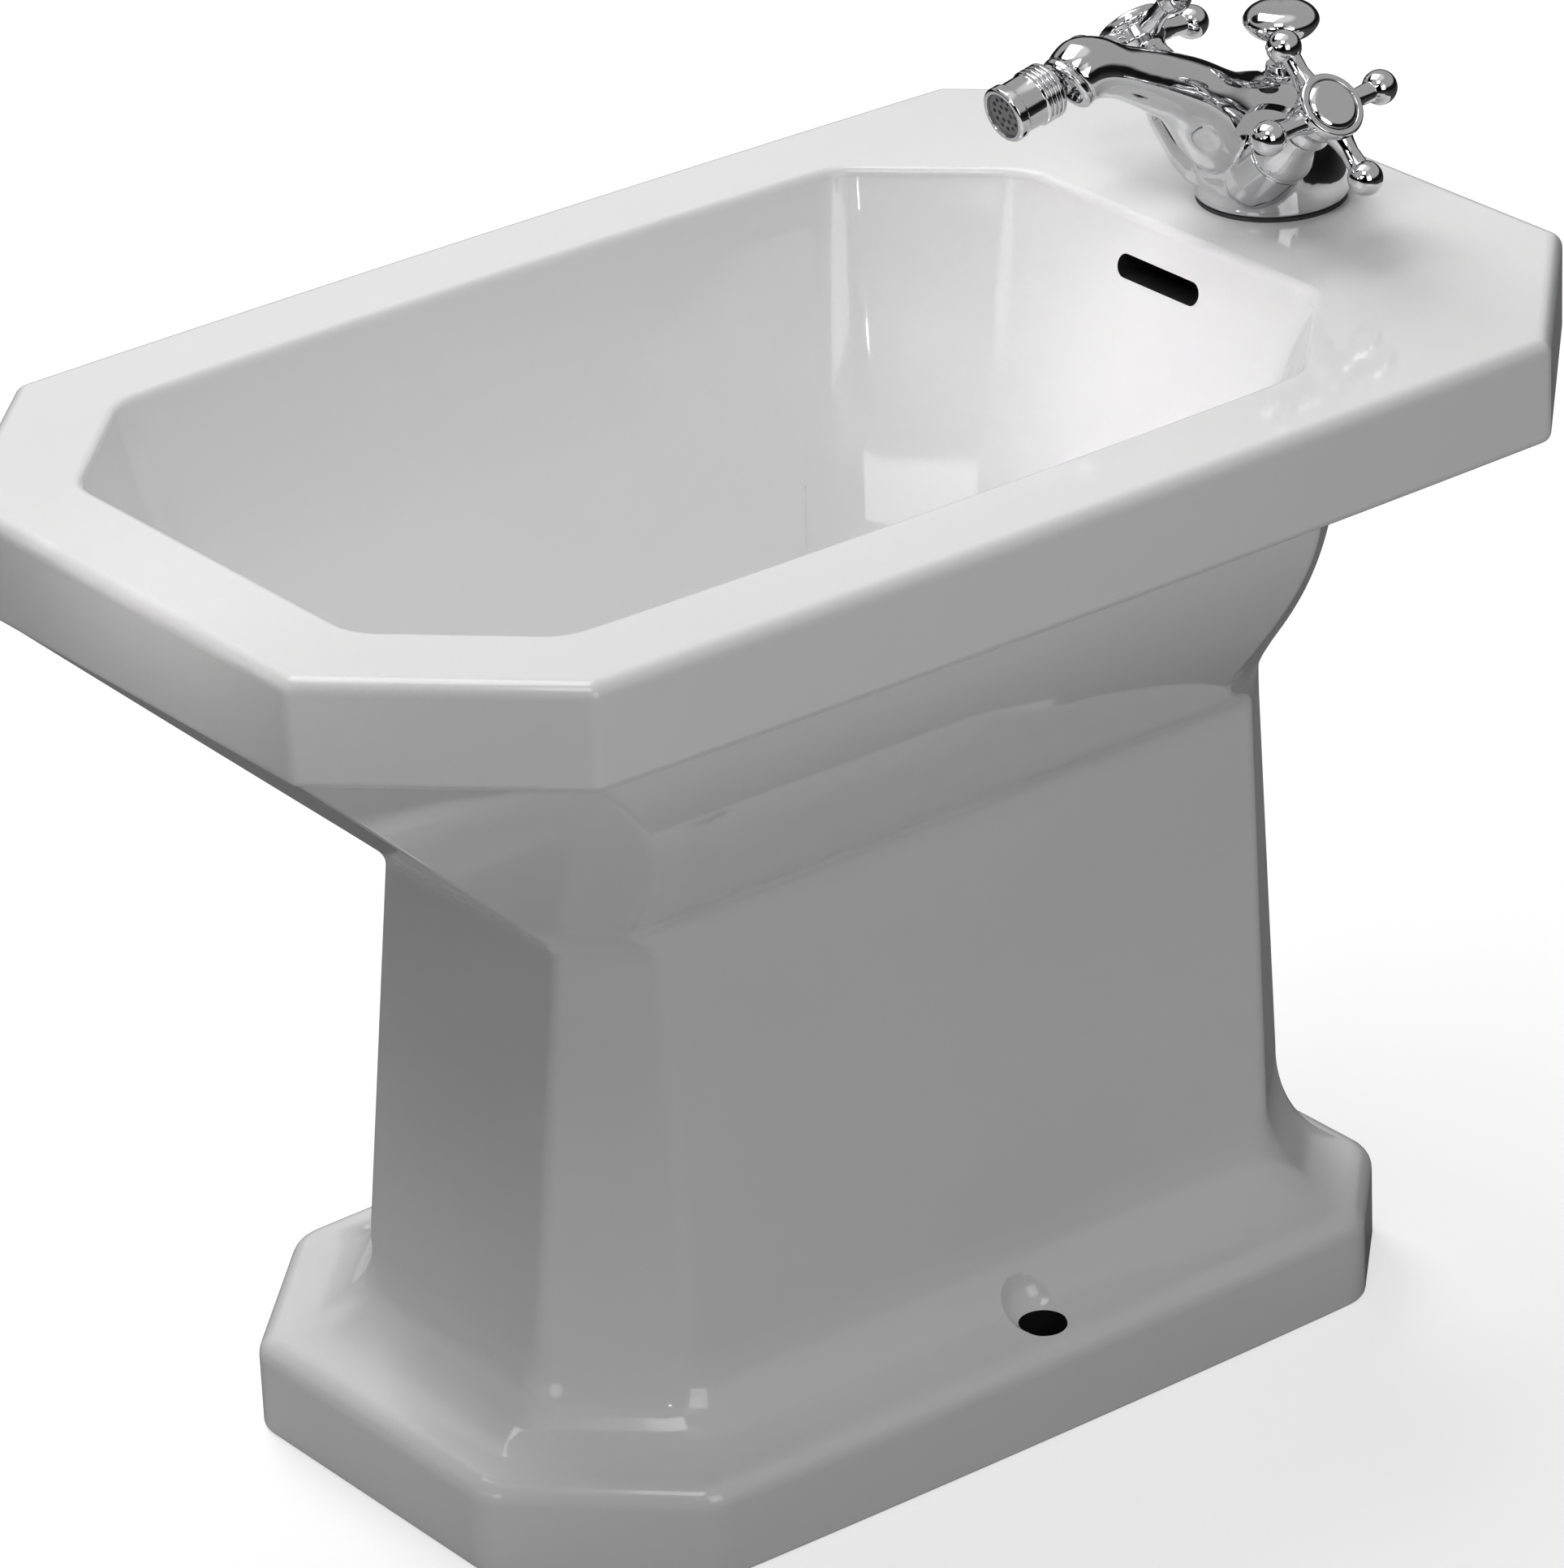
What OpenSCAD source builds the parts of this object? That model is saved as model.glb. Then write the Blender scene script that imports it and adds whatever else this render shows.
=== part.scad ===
// Floor standing bidet in vitreous china, octagonal in plan, with a one-hole tap and a pop-up waste.
// +X is the right side, -Y the front, +Z up. The origin lies on the floor under the middle of the rim.

/* [Rim and deck] */
// Width of the rim plate
plate_w = 355; // [345:1:365]
// Length of the rim plate, front to back
plate_l = 585; // [575:1:600]
// Height of the rim above the floor
rim_h = 398; // [392:1:404]
// Leg of the four cut corners of the plate
plate_cut = 75; // [68:1:82]
// Height of the skirt that hangs from the plate
skirt_h = 41; // [36:1:46]
// Radius of the plate's upper outer edge
edge_r = 6; // [3:0.5:8]
// Radius of the skirt's lower edge
skirt_edge_r = 4; // [2:0.5:6]
// Outward bow of the two long sides at their middle
side_bow = 2.5; // [0:0.5:5]
// Thickness of the deck under the tap
deck_t = 14; // [12:1:17]
// Thickness of the skirt round the open underside of the deck
skirt_t = 13; // [10:1:16]

/* [Bowl] */
// Width of the rim beside and in front of the bowl
rim_w = 41.5; // [38:0.5:46]
// Length of the deck behind the bowl
deck_l = 107.5; // [104:0.5:112]
// Leg of the bowl's cut corners
bowl_cut = 52; // [46:1:58]
// Depth from the rim to the bowl's floor
bowl_depth = 134; // [128:1:138]
// How far the foot of the side walls curves in
side_run = 36; // [30:1:42]
// Lean of the side walls, run over drop
side_lean = 0.25; // [0.2:0.01:0.28]
// How far the front wall runs in as it falls
front_run = 118; // [112:1:130]
// How far the back wall's foot curves in
back_run = 30; // [24:1:34]
// Lean of the back wall, run over drop
back_lean = 0.25; // [0.22:0.01:0.28]
// Fall of the floor to the waste
floor_fall = 3; // [2:0.5:5]
// Radius of the bowl's upper edge
bowl_edge_r = 4; // [2:0.5:6]
// Overflow slot, length
slot_l = 47; // [40:1:54]
// Overflow slot, height
slot_h = 9; // [7:0.5:10]
// Overflow slot, middle below the rim
slot_drop = 19; // [18:0.5:20]

/* [Body and pedestal] */
// Step in from the skirt to the body
step_in = 3.5; // [2:0.5:6]
// Distance from the plate's back edge to the body's back
overhang = 108.5; // [106:0.5:112]
// Power of the belly curve of the sides
belly = 1.5; // [1.3:0.1:1.8]
// Power of the belly curve along the rear creases
rear_belly = 2.4; // [2.1:0.1:2.7]
// Height where the front slope meets the pedestal
front_joint_z = 228; // [222:1:232]
// Height where the side belly meets the pedestal
side_joint_z = 241; // [236:1:246]
// Width of the pedestal at its top
neck_w = 160; // [152:1:168]
// Width of the pedestal above its flare
stem_w = 188; // [182:1:194]
// Distance of the pedestal's front from the middle at its top
neck_front = 152; // [146:1:158]
// Distance of the pedestal's front from the middle above its flare
stem_front = 170; // [164:1:176]
// Distance of the pedestal's back from the middle above its flare
stem_back = 187; // [185:0.5:190]
// Leg of the pedestal's cut corners at its top
neck_cut = 27; // [24:1:32]
// Leg of the pedestal's cut corners above its flare
stem_cut = 40; // [36:1:44]
// Wall of the hollow pedestal
wall = 12; // [10:0.5:14]
// Width of the opening in the pedestal's back
back_gap_w = 76; // [70:1:80]
// Height of the opening in the pedestal's back above the pivot ball
back_gap_over = 18; // [14:1:20]

/* [Foot] */
// Width of the foot
foot_w = 266; // [256:1:276]
// Distance of the foot's front from the middle
foot_front = 212.5; // [206:0.5:220]
// Distance of the foot's back from the middle
foot_back = 204; // [200:0.5:208]
// Leg of the front cut corners
foot_cut_front = 61; // [55:1:67]
// Leg of the back cut corners
foot_cut_back = 42; // [38:1:46]
// Height of the upright band
band_h = 38; // [34:1:42]
// Height of the concave flare above the band
flare_h = 35; // [30:1:40]
// Fixing holes, half their spacing across
fix_x = 117; // [114:0.5:119]
// Fixing holes, distance behind the middle
fix_y = 16; // [6:1:26]
// Fixing holes, bore of the screw
fix_d = 9; // [8:0.5:10]
// Fixing holes, wide bore for the screw's head
fix_head_d = 18.5; // [17:0.5:20]
// Fixing holes, thickness of china under the screw's head
fix_seat_z = 8; // [6:1:10]
// Fixing holes, radius of the scoop in the flare above
scoop_r = 17; // [14:1:19]

/* [Tap] */
// Distance of the tap's axis from the plate's back edge
tap_back = 55.5; // [53:0.5:58]
// Tap hole in the deck
tap_hole_d = 35; // [34:0.5:36]
// Foot of the tap
tap_foot_d = 59; // [57:1:62]
// Thickness of the gasket under the foot
gasket_t = 1.5; // [1:0.5:2]
// Thread of the stud that holds the tap down
stud_d = 8; // [6:1:8]
// Thread of the two water inlets
inlet_d = 10; // [8:1:10]
// Half the spacing of the two water inlets
inlet_x = 9.5; // [9:0.5:10]
// Height above the deck where the ball of the nozzle sits
ball_z = 75; // [72:0.5:78]
// Reach of the ball of the nozzle in front of the tap's axis
ball_reach = 92; // [88:0.5:95]
// Diameter of the swivel ball
ball_d = 16; // [15:0.5:17]
// Downward pitch of the ball's socket
socket_pitch = 30; // [26:1:34]
// Downward pitch of the nozzle at rest
nozzle_pitch = 12; // [12:1:16]
// Diameter of the nozzle
nozzle_d = 22; // [20:0.5:23]
// Distance from the ball to the nozzle's mouth
nozzle_reach = 39; // [36:0.5:42]
// Distance of the lift rod behind the tap's axis
rod_back = 6; // [5:0.5:7]
// Height of the lift rod's gland above the deck
gland_z = 43; // [41:0.5:44]
// Diameter of the pull knob
knob_d = 29; // [26:1:32]

/* [Handles] */
// Upward tilt of the two valve axes
valve_tilt = 43; // [40:0.5:46]
// Distance along the valve axis from its root to the middle of the cross
cross_at = 74; // [72:0.5:77]
// Valve axes, distance in front of the tap's axis
valve_front = 20; // [18:0.5:21]
// Height above the deck where the valve axes cross the tap's middle plane
valve_root_z = 3.5; // [2.5:0.5:5]
// Radius on which the ball ends lie
cross_r = 29; // [27:0.5:31]
// Diameter of the ball ends
knob_ball_d = 13.5; // [12:0.5:15]
// Diameter of the hub's flange
hub_d = 26.5; // [24:0.5:28]
// Diameter of the index button
index_d = 20; // [18:0.5:21]
// Turn of the cross about its axis at rest
cross_phase = 5; // [0:1:10]
// Diameter of the valve spindle
spindle_d = 8; // [7:0.5:8]
// Diameter of the valve's bore
valve_d = 17; // [16:0.5:18]

/* [Waste] */
// Distance of the waste behind the middle
waste_y = 80; // [76:1:82]
// Hole in the bowl's floor
waste_hole_d = 46; // [45:0.5:48]
// Diameter of the waste's flange
flange_d = 63; // [60:1:65]
// Diameter of the waste's tube
tube_d = 43; // [42:0.5:44]
// Diameter of the outlet
outlet_d = 32; // [30:0.5:34]
// Length of the outlet pipe below the waste's body
tail_l = 54; // [40:1:70]
// Distance from the waste's axis to the pivot ball
front_arm = 34; // [33:0.5:36]
// Height of the rim above the pivot ball
pivot_drop = 190; // [189:0.5:192]
// Gap from the body's back to the hanging end of the lift rod
hang_gap = 19; // [18:1:24]
// Lift of the plug
plug_lift = 8; // [6:0.5:8]
// Diameter of the lift rod
rod_d = 5; // [4:0.5:5]
// Diameter of the pivot rod
pivot_d = 6; // [5:0.5:6]
// Diameter of the pivot ball
pivot_ball_d = 10; // [9.5:0.5:10.5]

/* [Fits] */
// Running clearance of a turning fit, on the radius
run_fit = 0.05; // [0.03:0.01:0.08]
// Clearance of a seated piece, on the radius
seat_gap = 0.25; // [0.2:0.05:0.4]
// Gap between pieces that move past each other
move_gap = 0.5; // [0.4:0.1:0.8]

/* [Hidden] */
$fn = 64;
eps = 0.01;

// ---- shared geometry of the china ----
ring_steps = 2;          // arc steps at each cut corner
bow_steps = 3;           // extra points along each long side
half_l = plate_l / 2;
skirt_z = rim_h - skirt_h;
body_back = half_l - overhang;
bowl_back = half_l - deck_l;
flare_z = band_h + flare_h;
floor_z = rim_h - bowl_depth;
deck_z = rim_h - deck_t;
tap_y = half_l - tap_back;

function mix(a, b, t) = a * (1 - t) + b * t;
function clamp01(t) = min(max(t, 0), 1);

// An octagon is [half width, front y, back y, front cut, back cut across, back cut along, corner radius,
// side bow].
plate = [plate_w / 2, -half_l, half_l, plate_cut, plate_cut, plate_cut, 7, side_bow];
body_top = [plate_w / 2 - step_in, -half_l + step_in, body_back, plate_cut, plate_cut, plate_cut, 7, side_bow];
neck = [neck_w / 2, -neck_front, body_back - 2, neck_cut, neck_cut, neck_cut, 8, 0];
stem = [stem_w / 2, -stem_front, stem_back, stem_cut, stem_cut, stem_cut, 9, 0];
foot = [foot_w / 2, -foot_front, foot_back, foot_cut_front, foot_cut_back, foot_cut_back, 9, 1.5];
bowl = [plate_w / 2 - rim_w, -half_l + rim_w, bowl_back, bowl_cut, bowl_cut, bowl_cut, 7, side_bow];

// The octagon moved out by d on every side.
function grow(o, d) =
    let (k = d * (2 - sqrt(2)))
    [o[0] + d, o[1] - d, o[2] + d, o[3] + k, o[4] + k, o[5] + k, max(o[6] + d, 1), o[7]];

function corners(o) = [
    [o[0] - o[3], o[1]], [o[0], o[1] + o[3]], [o[0], o[2] - o[5]], [o[0] - o[4], o[2]],
    [o[4] - o[0], o[2]], [-o[0], o[2] - o[5]], [-o[0], o[1] + o[3]], [o[3] - o[0], o[1]]
];

// The point at the share t of the curve that leaves a toward p and reaches b.
function bend(a, p, b, t) = mix(mix(a, p, t), mix(p, b, t), t);

// The rounded corner k of an octagon.
function corner_arc(o, k) =
    let (
        c = corners(o),
        p = c[k],
        to_last = c[(k + 7) % 8] - p,
        to_next = c[(k + 1) % 8] - p,
        leg = o[6] * tan(22.5),
        a = p + leg * to_last / norm(to_last),
        b = p + leg * to_next / norm(to_next)
    )
    [for (j = [0:ring_steps]) bend(a, p, b, j / ring_steps)];

// Points along a long side, bowed outward; s is 1 on the right and -1 on the left.
function bowed_side(o, s) =
    let (half = (o[2] - o[1] - o[3] - o[5]) / 2, mid = (o[1] + o[3] + o[2] - o[5]) / 2)
    [for (j = [1:bow_steps])
        let (u = 2 * j / (bow_steps + 1) - 1)
        [s * (o[0] + o[7] * (1 - u * u)), mid + s * u * half]];

function ring(o, z) = [
    for (p = concat(
        corner_arc(o, 0), corner_arc(o, 1), bowed_side(o, 1), corner_arc(o, 2), corner_arc(o, 3),
        corner_arc(o, 4), corner_arc(o, 5), bowed_side(o, -1), corner_arc(o, 6), corner_arc(o, 7)
    )) [p[0], p[1], z]
];

// A closed skin over a stack of rings that all have the same number of points.
module skin(rings) {
    n = len(rings[0]);
    last = (len(rings) - 1) * n;
    points = [for (r = rings) for (p = r) p];
    walls = [
        for (i = [0:len(rings) - 2]) for (j = [0:n - 1])
            let (a = i * n + j, b = i * n + (j + 1) % n)
            each [[a, a + n, b + n], [a, b + n, b]]
    ];
    caps = [[for (j = [0:n - 1]) j], [for (j = [n - 1:-1:0]) last + j]];
    polyhedron(points = points, faces = concat(caps, walls), convexity = 10);
}

// Plan of the body and pedestal at height z, between the flare and the skirt. The sides, the rear creases
// and the front each fall by a curve of their own.
function trunk(z) =
    let (
        fall = clamp01((skirt_z - z) / (skirt_z - side_joint_z)),
        front_fall = clamp01((skirt_z - z) / (skirt_z - front_joint_z)),
        stalk = mix(stem, neck, clamp01((z - flare_z) / (front_joint_z - flare_z))),
        o = mix(body_top, stalk, pow(fall, belly)),
        crease_x = mix(body_top[0] - body_top[4], stalk[0] - stalk[4], pow(fall, rear_belly)),
        crease_y = mix(body_top[2] - body_top[5], stalk[2] - stalk[5], pow(fall, 6))
    )
    [o[0], mix(body_top[1], stalk[1], front_fall), o[2], o[3], o[0] - crease_x, o[2] - crease_y, o[6], o[7]];

// Bowl plan at the angle a of its wall's quarter ellipse, 0 at the rim and 90 at the floor.
function bowl_plan(a) =
    let (turn = 1 - cos(a), drop = bowl_depth * sin(a))
    [
        bowl[0] - side_run * turn - side_lean * drop, bowl[1] + front_run * turn,
        bowl[2] - back_run * turn - back_lean * drop,
        bowl[3] - 14 * turn, bowl[4] - 10 * turn, bowl[5] - 10 * turn, bowl[6] + 18 * turn,
        bowl[7] * (1 - turn)
    ];

module china_blank() {
    ceiling = floor_z - 13;
    hollow_neck = grow(neck, -wall);
    sump_r = flange_d / 2 - 2;
    sump_cut = sump_r * (2 - sqrt(2));
    sump = [sump_r, waste_y - sump_r, waste_y + sump_r, sump_cut, sump_cut, sump_cut, 12, 0];
    skin(concat(
        // the hollow inside, from its ceiling down to the floor
        [ring(hollow_neck, ceiling), ring(hollow_neck, front_joint_z), ring(grow(stem, -wall), flare_z),
         ring(grow(stem, -wall), 0)],
        // the foot's band and its rounded upper edge
        [ring(grow(foot, -1.5), 0), ring(foot, 1.5)],
        [for (a = [0:30:90]) ring(grow(foot, -5 + 5 * cos(a)), band_h - 5 + 5 * sin(a))],
        // the concave flare
        [for (a = [75:-15:0]) ring(mix(stem, grow(foot, -5), 1 - cos(a)), flare_z - flare_h * sin(a))],
        // the pedestal and the belly of the body
        [ring(trunk(front_joint_z), front_joint_z)],
        [for (i = [0:14])
            let (z = side_joint_z + (skirt_z - 24 - side_joint_z) * i / 14)
            ring(trunk(z), z)],
        [ring(trunk(skirt_z), skirt_z)],
        // the skirt, the plate's edge and the rim
        [for (a = [0:30:90]) ring(grow(plate, -skirt_edge_r + skirt_edge_r * sin(a)),
            skirt_z + skirt_edge_r - skirt_edge_r * cos(a))],
        [for (a = [0:22.5:90]) ring(grow(plate, -edge_r + edge_r * cos(a)), rim_h - edge_r + edge_r * sin(a))],
        [for (a = [0:30:90]) ring(grow(bowl, bowl_edge_r - bowl_edge_r * sin(a)),
            rim_h - bowl_edge_r + bowl_edge_r * cos(a))],
        // the bowl down to its floor and the fall to the waste
        [for (a = [12:6.5:90]) ring(bowl_plan(a), rim_h - bowl_depth * sin(a))],
        [ring(bowl_plan(90), floor_z - 0.1), ring(sump, floor_z - floor_fall)]
    ));
}

duct_z = floor_z - 18;
duct_y = bowl_back + 5;  // front of the passage behind the slot
duct_in = duct_y - 24;   // and where it comes down behind the bowl
duct_t = 8;
boss_z = duct_z - 8;
seat_z = floor_z - floor_fall - 3;

// The hollow under the deck, behind the bowl.
module deck_hollow() {
    front = body_back + 10;
    across = plate_w / 2 - skirt_t;
    inner_cut = plate_cut + 5 - skirt_t;
    back = half_l - skirt_t;
    translate([0, 0, skirt_z - 1]) linear_extrude(skirt_h - deck_t + 1)
        polygon([
            [-across, front], [across, front], [across, back - inner_cut], [across - inner_cut, back],
            [inner_cut - across, back], [-across, back - inner_cut]
        ]);
}

// A slab across the middle, from its outline in the plane of y and z.
module slab(width, outline) {
    translate([-width / 2, 0, 0]) rotate([90, 0, 90]) linear_extrude(width) polygon(outline);
}

// The china round the overflow's passage, and the boss round the waste.
module overflow_duct() {
    back = duct_y + 2 * duct_t;
    slab(slot_l + 16, [
        [waste_y, boss_z], [body_back - 2, boss_z], [body_back - 2, skirt_z - 46], [back, skirt_z - 6],
        [back, deck_z + eps], [body_back - 1.5, deck_z + eps], [body_back - 1.5, skirt_z - 17],
        [duct_in, skirt_z - 37], [duct_in, floor_z - 8], [waste_y, floor_z - 8]
    ]);
    at_waste() translate([0, 0, boss_z]) cylinder(r = flange_d / 2 + 8, h = floor_z - 8 - boss_z);
}

module duct_passage() {
    ends = (slot_l - slot_h) / 2;
    slab(slot_l, [
        [waste_y, duct_z], [duct_in + duct_t, duct_z], [duct_in + duct_t, skirt_z - 45],
        [duct_y + duct_t, skirt_z - 5], [duct_y + duct_t, deck_z], [duct_y, deck_z], [duct_y, skirt_z - 3],
        [duct_in, skirt_z - 43], [duct_in, duct_z + duct_t], [waste_y, duct_z + duct_t]
    ]);
    translate([0, duct_y + 2, rim_h - slot_drop]) rotate([90, 0, 0]) {
        translate([-ends, -slot_h / 2, 0]) cube([2 * ends, slot_h, 30]);
        for (s = [-1, 1]) translate([s * ends, 0, 0]) cylinder(d = slot_h, h = 30);
    }
}

// The opening in the pedestal's back, square below and round at its two upper corners.
module back_opening() {
    corner = 20;
    cut_l = 90;
    translate([0, stem_back - 60, 0]) {
        translate([-back_gap_w / 2, 0, -1]) cube([back_gap_w, cut_l, back_gap_h - corner + 1]);
        translate([corner - back_gap_w / 2, 0, back_gap_h - corner - 1])
            cube([back_gap_w - 2 * corner, cut_l, corner + 1]);
        for (s = [-1, 1]) translate([s * (back_gap_w / 2 - corner), 0, back_gap_h - corner])
            rotate([-90, 0, 0]) cylinder(r = corner, h = cut_l);
    }
}

module ceramic_body() color("white") difference() {
    union() {
        difference() {
            china_blank();
            deck_hollow();
        }
        overflow_duct();
    }
    duct_passage();
    back_opening();
    // the waste's hole and the seat of its flange
    at_waste() {
        translate([0, 0, duct_z - 20]) cylinder(d = waste_hole_d, h = 60);
        translate([0, 0, seat_z]) cylinder(d = flange_d + 2, h = 20);
    }
    // the tap hole
    translate([0, tap_y, deck_z - 20]) cylinder(d = tap_hole_d, h = 60);
    // the fixing holes, each with its scoop in the flare
    for (s = [-1, 1]) translate([s * fix_x, fix_y, 0]) {
        translate([0, 0, -1]) cylinder(d = fix_d, h = band_h);
        translate([0, 0, fix_seat_z]) cylinder(d = fix_head_d, h = band_h);
        translate([0, 0, band_h + scoop_r - 2]) sphere(r = scoop_r);
    }
}

// ---- places and small shapes ----
rod_y = tap_y + rod_back;
pivot_y = waste_y + front_arm;
pivot_z = rim_h - pivot_drop;
back_gap_h = pivot_z + back_gap_over;
hang_y = body_back + hang_gap;
strap_t = 1.5;
strap_y = hang_y + rod_d / 2 + strap_t / 2;
rear_arm = strap_y - pivot_y;
rest_slope = plug_lift / 2 / front_arm;
swing = atan(rest_slope);

module at_tap() {
    translate([0, tap_y, rim_h]) children();
}

module at_rod(z = 0) {
    translate([0, rod_y, z]) children();
}

module at_waste() {
    translate([0, waste_y, 0]) children();
}

// +Z lies along the valve axis, from its root; side is 1 on the right and -1 on the left.
module on_valve(side) {
    at_tap() translate([0, -valve_front, valve_root_z]) rotate([0, side * (90 - valve_tilt), 0]) children();
}

// +Z points out of the ball's centre, forward and down by pitch.
module on_ball(pitch) {
    at_tap() translate([0, -ball_reach, ball_z]) rotate([90 + pitch, 0, 0]) children();
}

// +Z lies along the pivot rod toward the strap, as it rests with the plug up.
module on_pivot() {
    translate([0, pivot_y, pivot_z]) rotate([-90 - swing, 0, 0]) children();
}

module tube(r_out, r_in, z0, z1) {
    translate([0, 0, z0]) difference() {
        cylinder(r = r_out, h = z1 - z0);
        translate([0, 0, -1]) cylinder(r = r_in, h = z1 - z0 + 2);
    }
}

module hexagon(across, z0, z1) {
    translate([0, 0, z0]) cylinder(d = across / cos(30), h = z1 - z0, $fn = 6);
}

module bore(d, z0, z1) {
    translate([0, 0, z0]) cylinder(d = d, h = z1 - z0);
}

// A body of revolution about Z from its [radius, height] outline.
module revolve(outline) {
    rotate_extrude() polygon(outline);
}

// Points of a smooth curve through the stations p, n to each span.
function smooth(p, n) = [
    for (i = [0:len(p) - 2]) for (j = [0:n - 1])
        let (t = j / n, a = p[max(i - 1, 0)], b = p[i], c = p[i + 1], d = p[min(i + 2, len(p) - 1)])
        (2 * b + (c - a) * t + (2 * a - 5 * b + 4 * c - d) * t * t + (3 * b - a - 3 * c + d) * t * t * t) / 2,
    p[len(p) - 1]
];

// ---- tap body ----
foot_r = tap_foot_d / 2;
spigot_r = tap_hole_d / 2 - 1;
spigot_h = 8;
gland_spigot_r = 5;
gland_spigot_h = 8;
stud_front = 11;
valve_z0 = 16;           // along the valve axis: the bore's floor
boss_top = 40;           // and the boss's top
boss_r = valve_d / 2 + 4;
head_r = ball_d / 2 + 3.5;
socket_r = ball_d / 2 + move_gap;
head_end = 6;            // along the socket's axis: the head's end
seat_back = -6;          // and the seat ring's two faces
seat_front = -3;

// Stations of the horn: [y, z, tilt of the section, half width, half depth].
horn_line = [
    [0, gasket_t + 1, 0, foot_r, foot_r],
    [0, gasket_t + 3, 0, foot_r, foot_r],
    [-0.01 * ball_reach, 0.16 * ball_z, 6, foot_r - 0.5, foot_r - 0.5],
    [-0.055 * ball_reach, 0.293 * ball_z, 20, foot_r - 2.5, foot_r - 1.5],
    [-0.14 * ball_reach, 0.427 * ball_z, 38, foot_r - 5, foot_r - 5.5],
    [-0.28 * ball_reach, 0.507 * ball_z, 50, 21, 19],
    [-0.445 * ball_reach, 0.693 * ball_z, 55, 18, 14],
    [-0.61 * ball_reach, 0.813 * ball_z, 58, 15.5, 12],
    [-0.79 * ball_reach, 0.92 * ball_z, 66, head_r + 2, 10.3],
    [-0.913 * ball_reach, 0.985 * ball_z, 78, head_r + 1, head_r],
    [-ball_reach, ball_z, 90 + socket_pitch / 3, head_r + 0.6, head_r + 0.8],
    [-ball_reach - head_end * cos(socket_pitch), ball_z - head_end * sin(socket_pitch), 90 + socket_pitch,
     head_r, head_r]
];

module horn() {
    around = 28;
    stations = concat([[0, gasket_t, 0, foot_r - 1, foot_r - 1]], smooth(horn_line, 3));
    skin([
        for (s = stations) [
            for (j = [0:around - 1])
                let (a = 360 * j / around)
                [s[3] * cos(a), s[0] + s[4] * sin(a) * cos(s[2]), s[1] + s[4] * sin(a) * sin(s[2])]
        ]
    ]);
}

module tap_body() color("silver") difference() {
    union() {
        at_tap() {
            horn();
            bore(2 * spigot_r, -spigot_h, gasket_t + 1);
        }
        for (side = [-1, 1]) on_valve(side)
            translate([0, 0, 12]) cylinder(r1 = boss_r + 0.5, r2 = boss_r, h = boss_top - 12);
    }
    for (side = [-1, 1]) on_valve(side) {
        bore(valve_d, valve_z0, boss_top + 1);
        bore(2 * boss_r + 1, boss_top, boss_top + 20);
    }
    at_tap() {
        for (side = [-1, 1]) translate([side * inlet_x, 1, 0]) bore(inlet_d - 1, -spigot_h - 1, 4);
        translate([0, -stud_front, 0]) bore(stud_d, -spigot_h - 1, 6);
    }
    // the lift rod's way down and the seat of its gland
    at_rod(rim_h) {
        bore(rod_d + 2 * move_gap, -spigot_h - 1, gland_z + 1);
        bore(2 * gland_spigot_r, gland_z - gland_spigot_h, gland_z + 1);
        bore(19, gland_z, gland_z + 20);
    }
    // the ball's socket and the water way behind it
    on_ball(socket_pitch) {
        bore(2 * socket_r, seat_back - 0.3, head_end + 10);
        bore(ball_d - 4.4, -ball_d / 2 - 1, seat_back);
    }
}

module tap_gasket() color("dimgray") at_tap() tube(foot_r - 0.5, spigot_r + seat_gap, 0, gasket_t);

module mounting_stud() color("goldenrod") at_tap() translate([0, -stud_front, 0])
    bore(stud_d, -deck_t - 24, 5.5);

// A plate that grips the deck from below, open behind for the inlets and the rod.
module horseshoe(z0, z1) {
    open_w = 2 * inlet_x + inlet_d + 6;
    at_tap() translate([0, 0, z0]) difference() {
        cylinder(r = tap_hole_d / 2 + 9, h = z1 - z0);
        translate([-open_w / 2, -5, -1]) cube([open_w, 40, z1 - z0 + 2]);
        translate([0, -stud_front, -1]) cylinder(d = stud_d + 2 * seat_gap, h = z1 - z0 + 2);
    }
}

rubber_z = -deck_t - 3;
plate_z = rubber_z - 2.5;

module horseshoe_rubber() color("dimgray") horseshoe(rubber_z, -deck_t);

module horseshoe_plate() color("goldenrod") horseshoe(plate_z, rubber_z);

module stud_nut() color("goldenrod") at_tap() translate([0, -stud_front, 0]) difference() {
    hexagon(1.6 * stud_d, plate_z - 7, plate_z);
    bore(stud_d, plate_z - 8, plate_z + 1);
}

// ---- valves and handles, along the valve axis ----
bonnet_top = 58;
hub_back = bonnet_top + 3 * move_gap;
spindle_top = cross_at - 2;
flange_top = cross_at + 7;
index_z = flange_top - 3;

module valve(side) color("goldenrod") on_valve(side) difference() {
    union() {
        bore(valve_d - 2 * seat_gap, valve_z0, boss_top);
        hexagon(0.8 * valve_d, boss_top, boss_top + 6);
        bore(0.7 * valve_d, boss_top + 6, bonnet_top - 4);
    }
    bore(spindle_d + 2 * run_fit, valve_z0 + 8, bonnet_top);
}

module bonnet(side) color("silver") on_valve(side) {
    hex_r = 0.8 * valve_d / cos(30) / 2 + 0.4;
    neck_r = 0.35 * valve_d + 0.4;
    revolve([
        [hex_r, boss_top], [boss_r, boss_top], [boss_r, boss_top + 2], [boss_r - 0.7, boss_top + 5],
        [neck_r + 3.2, boss_top + 10], [neck_r + 2, boss_top + 14], [neck_r + 1.7, bonnet_top],
        [neck_r, bonnet_top], [neck_r, boss_top + 7], [hex_r, boss_top + 7]
    ]);
}

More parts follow.
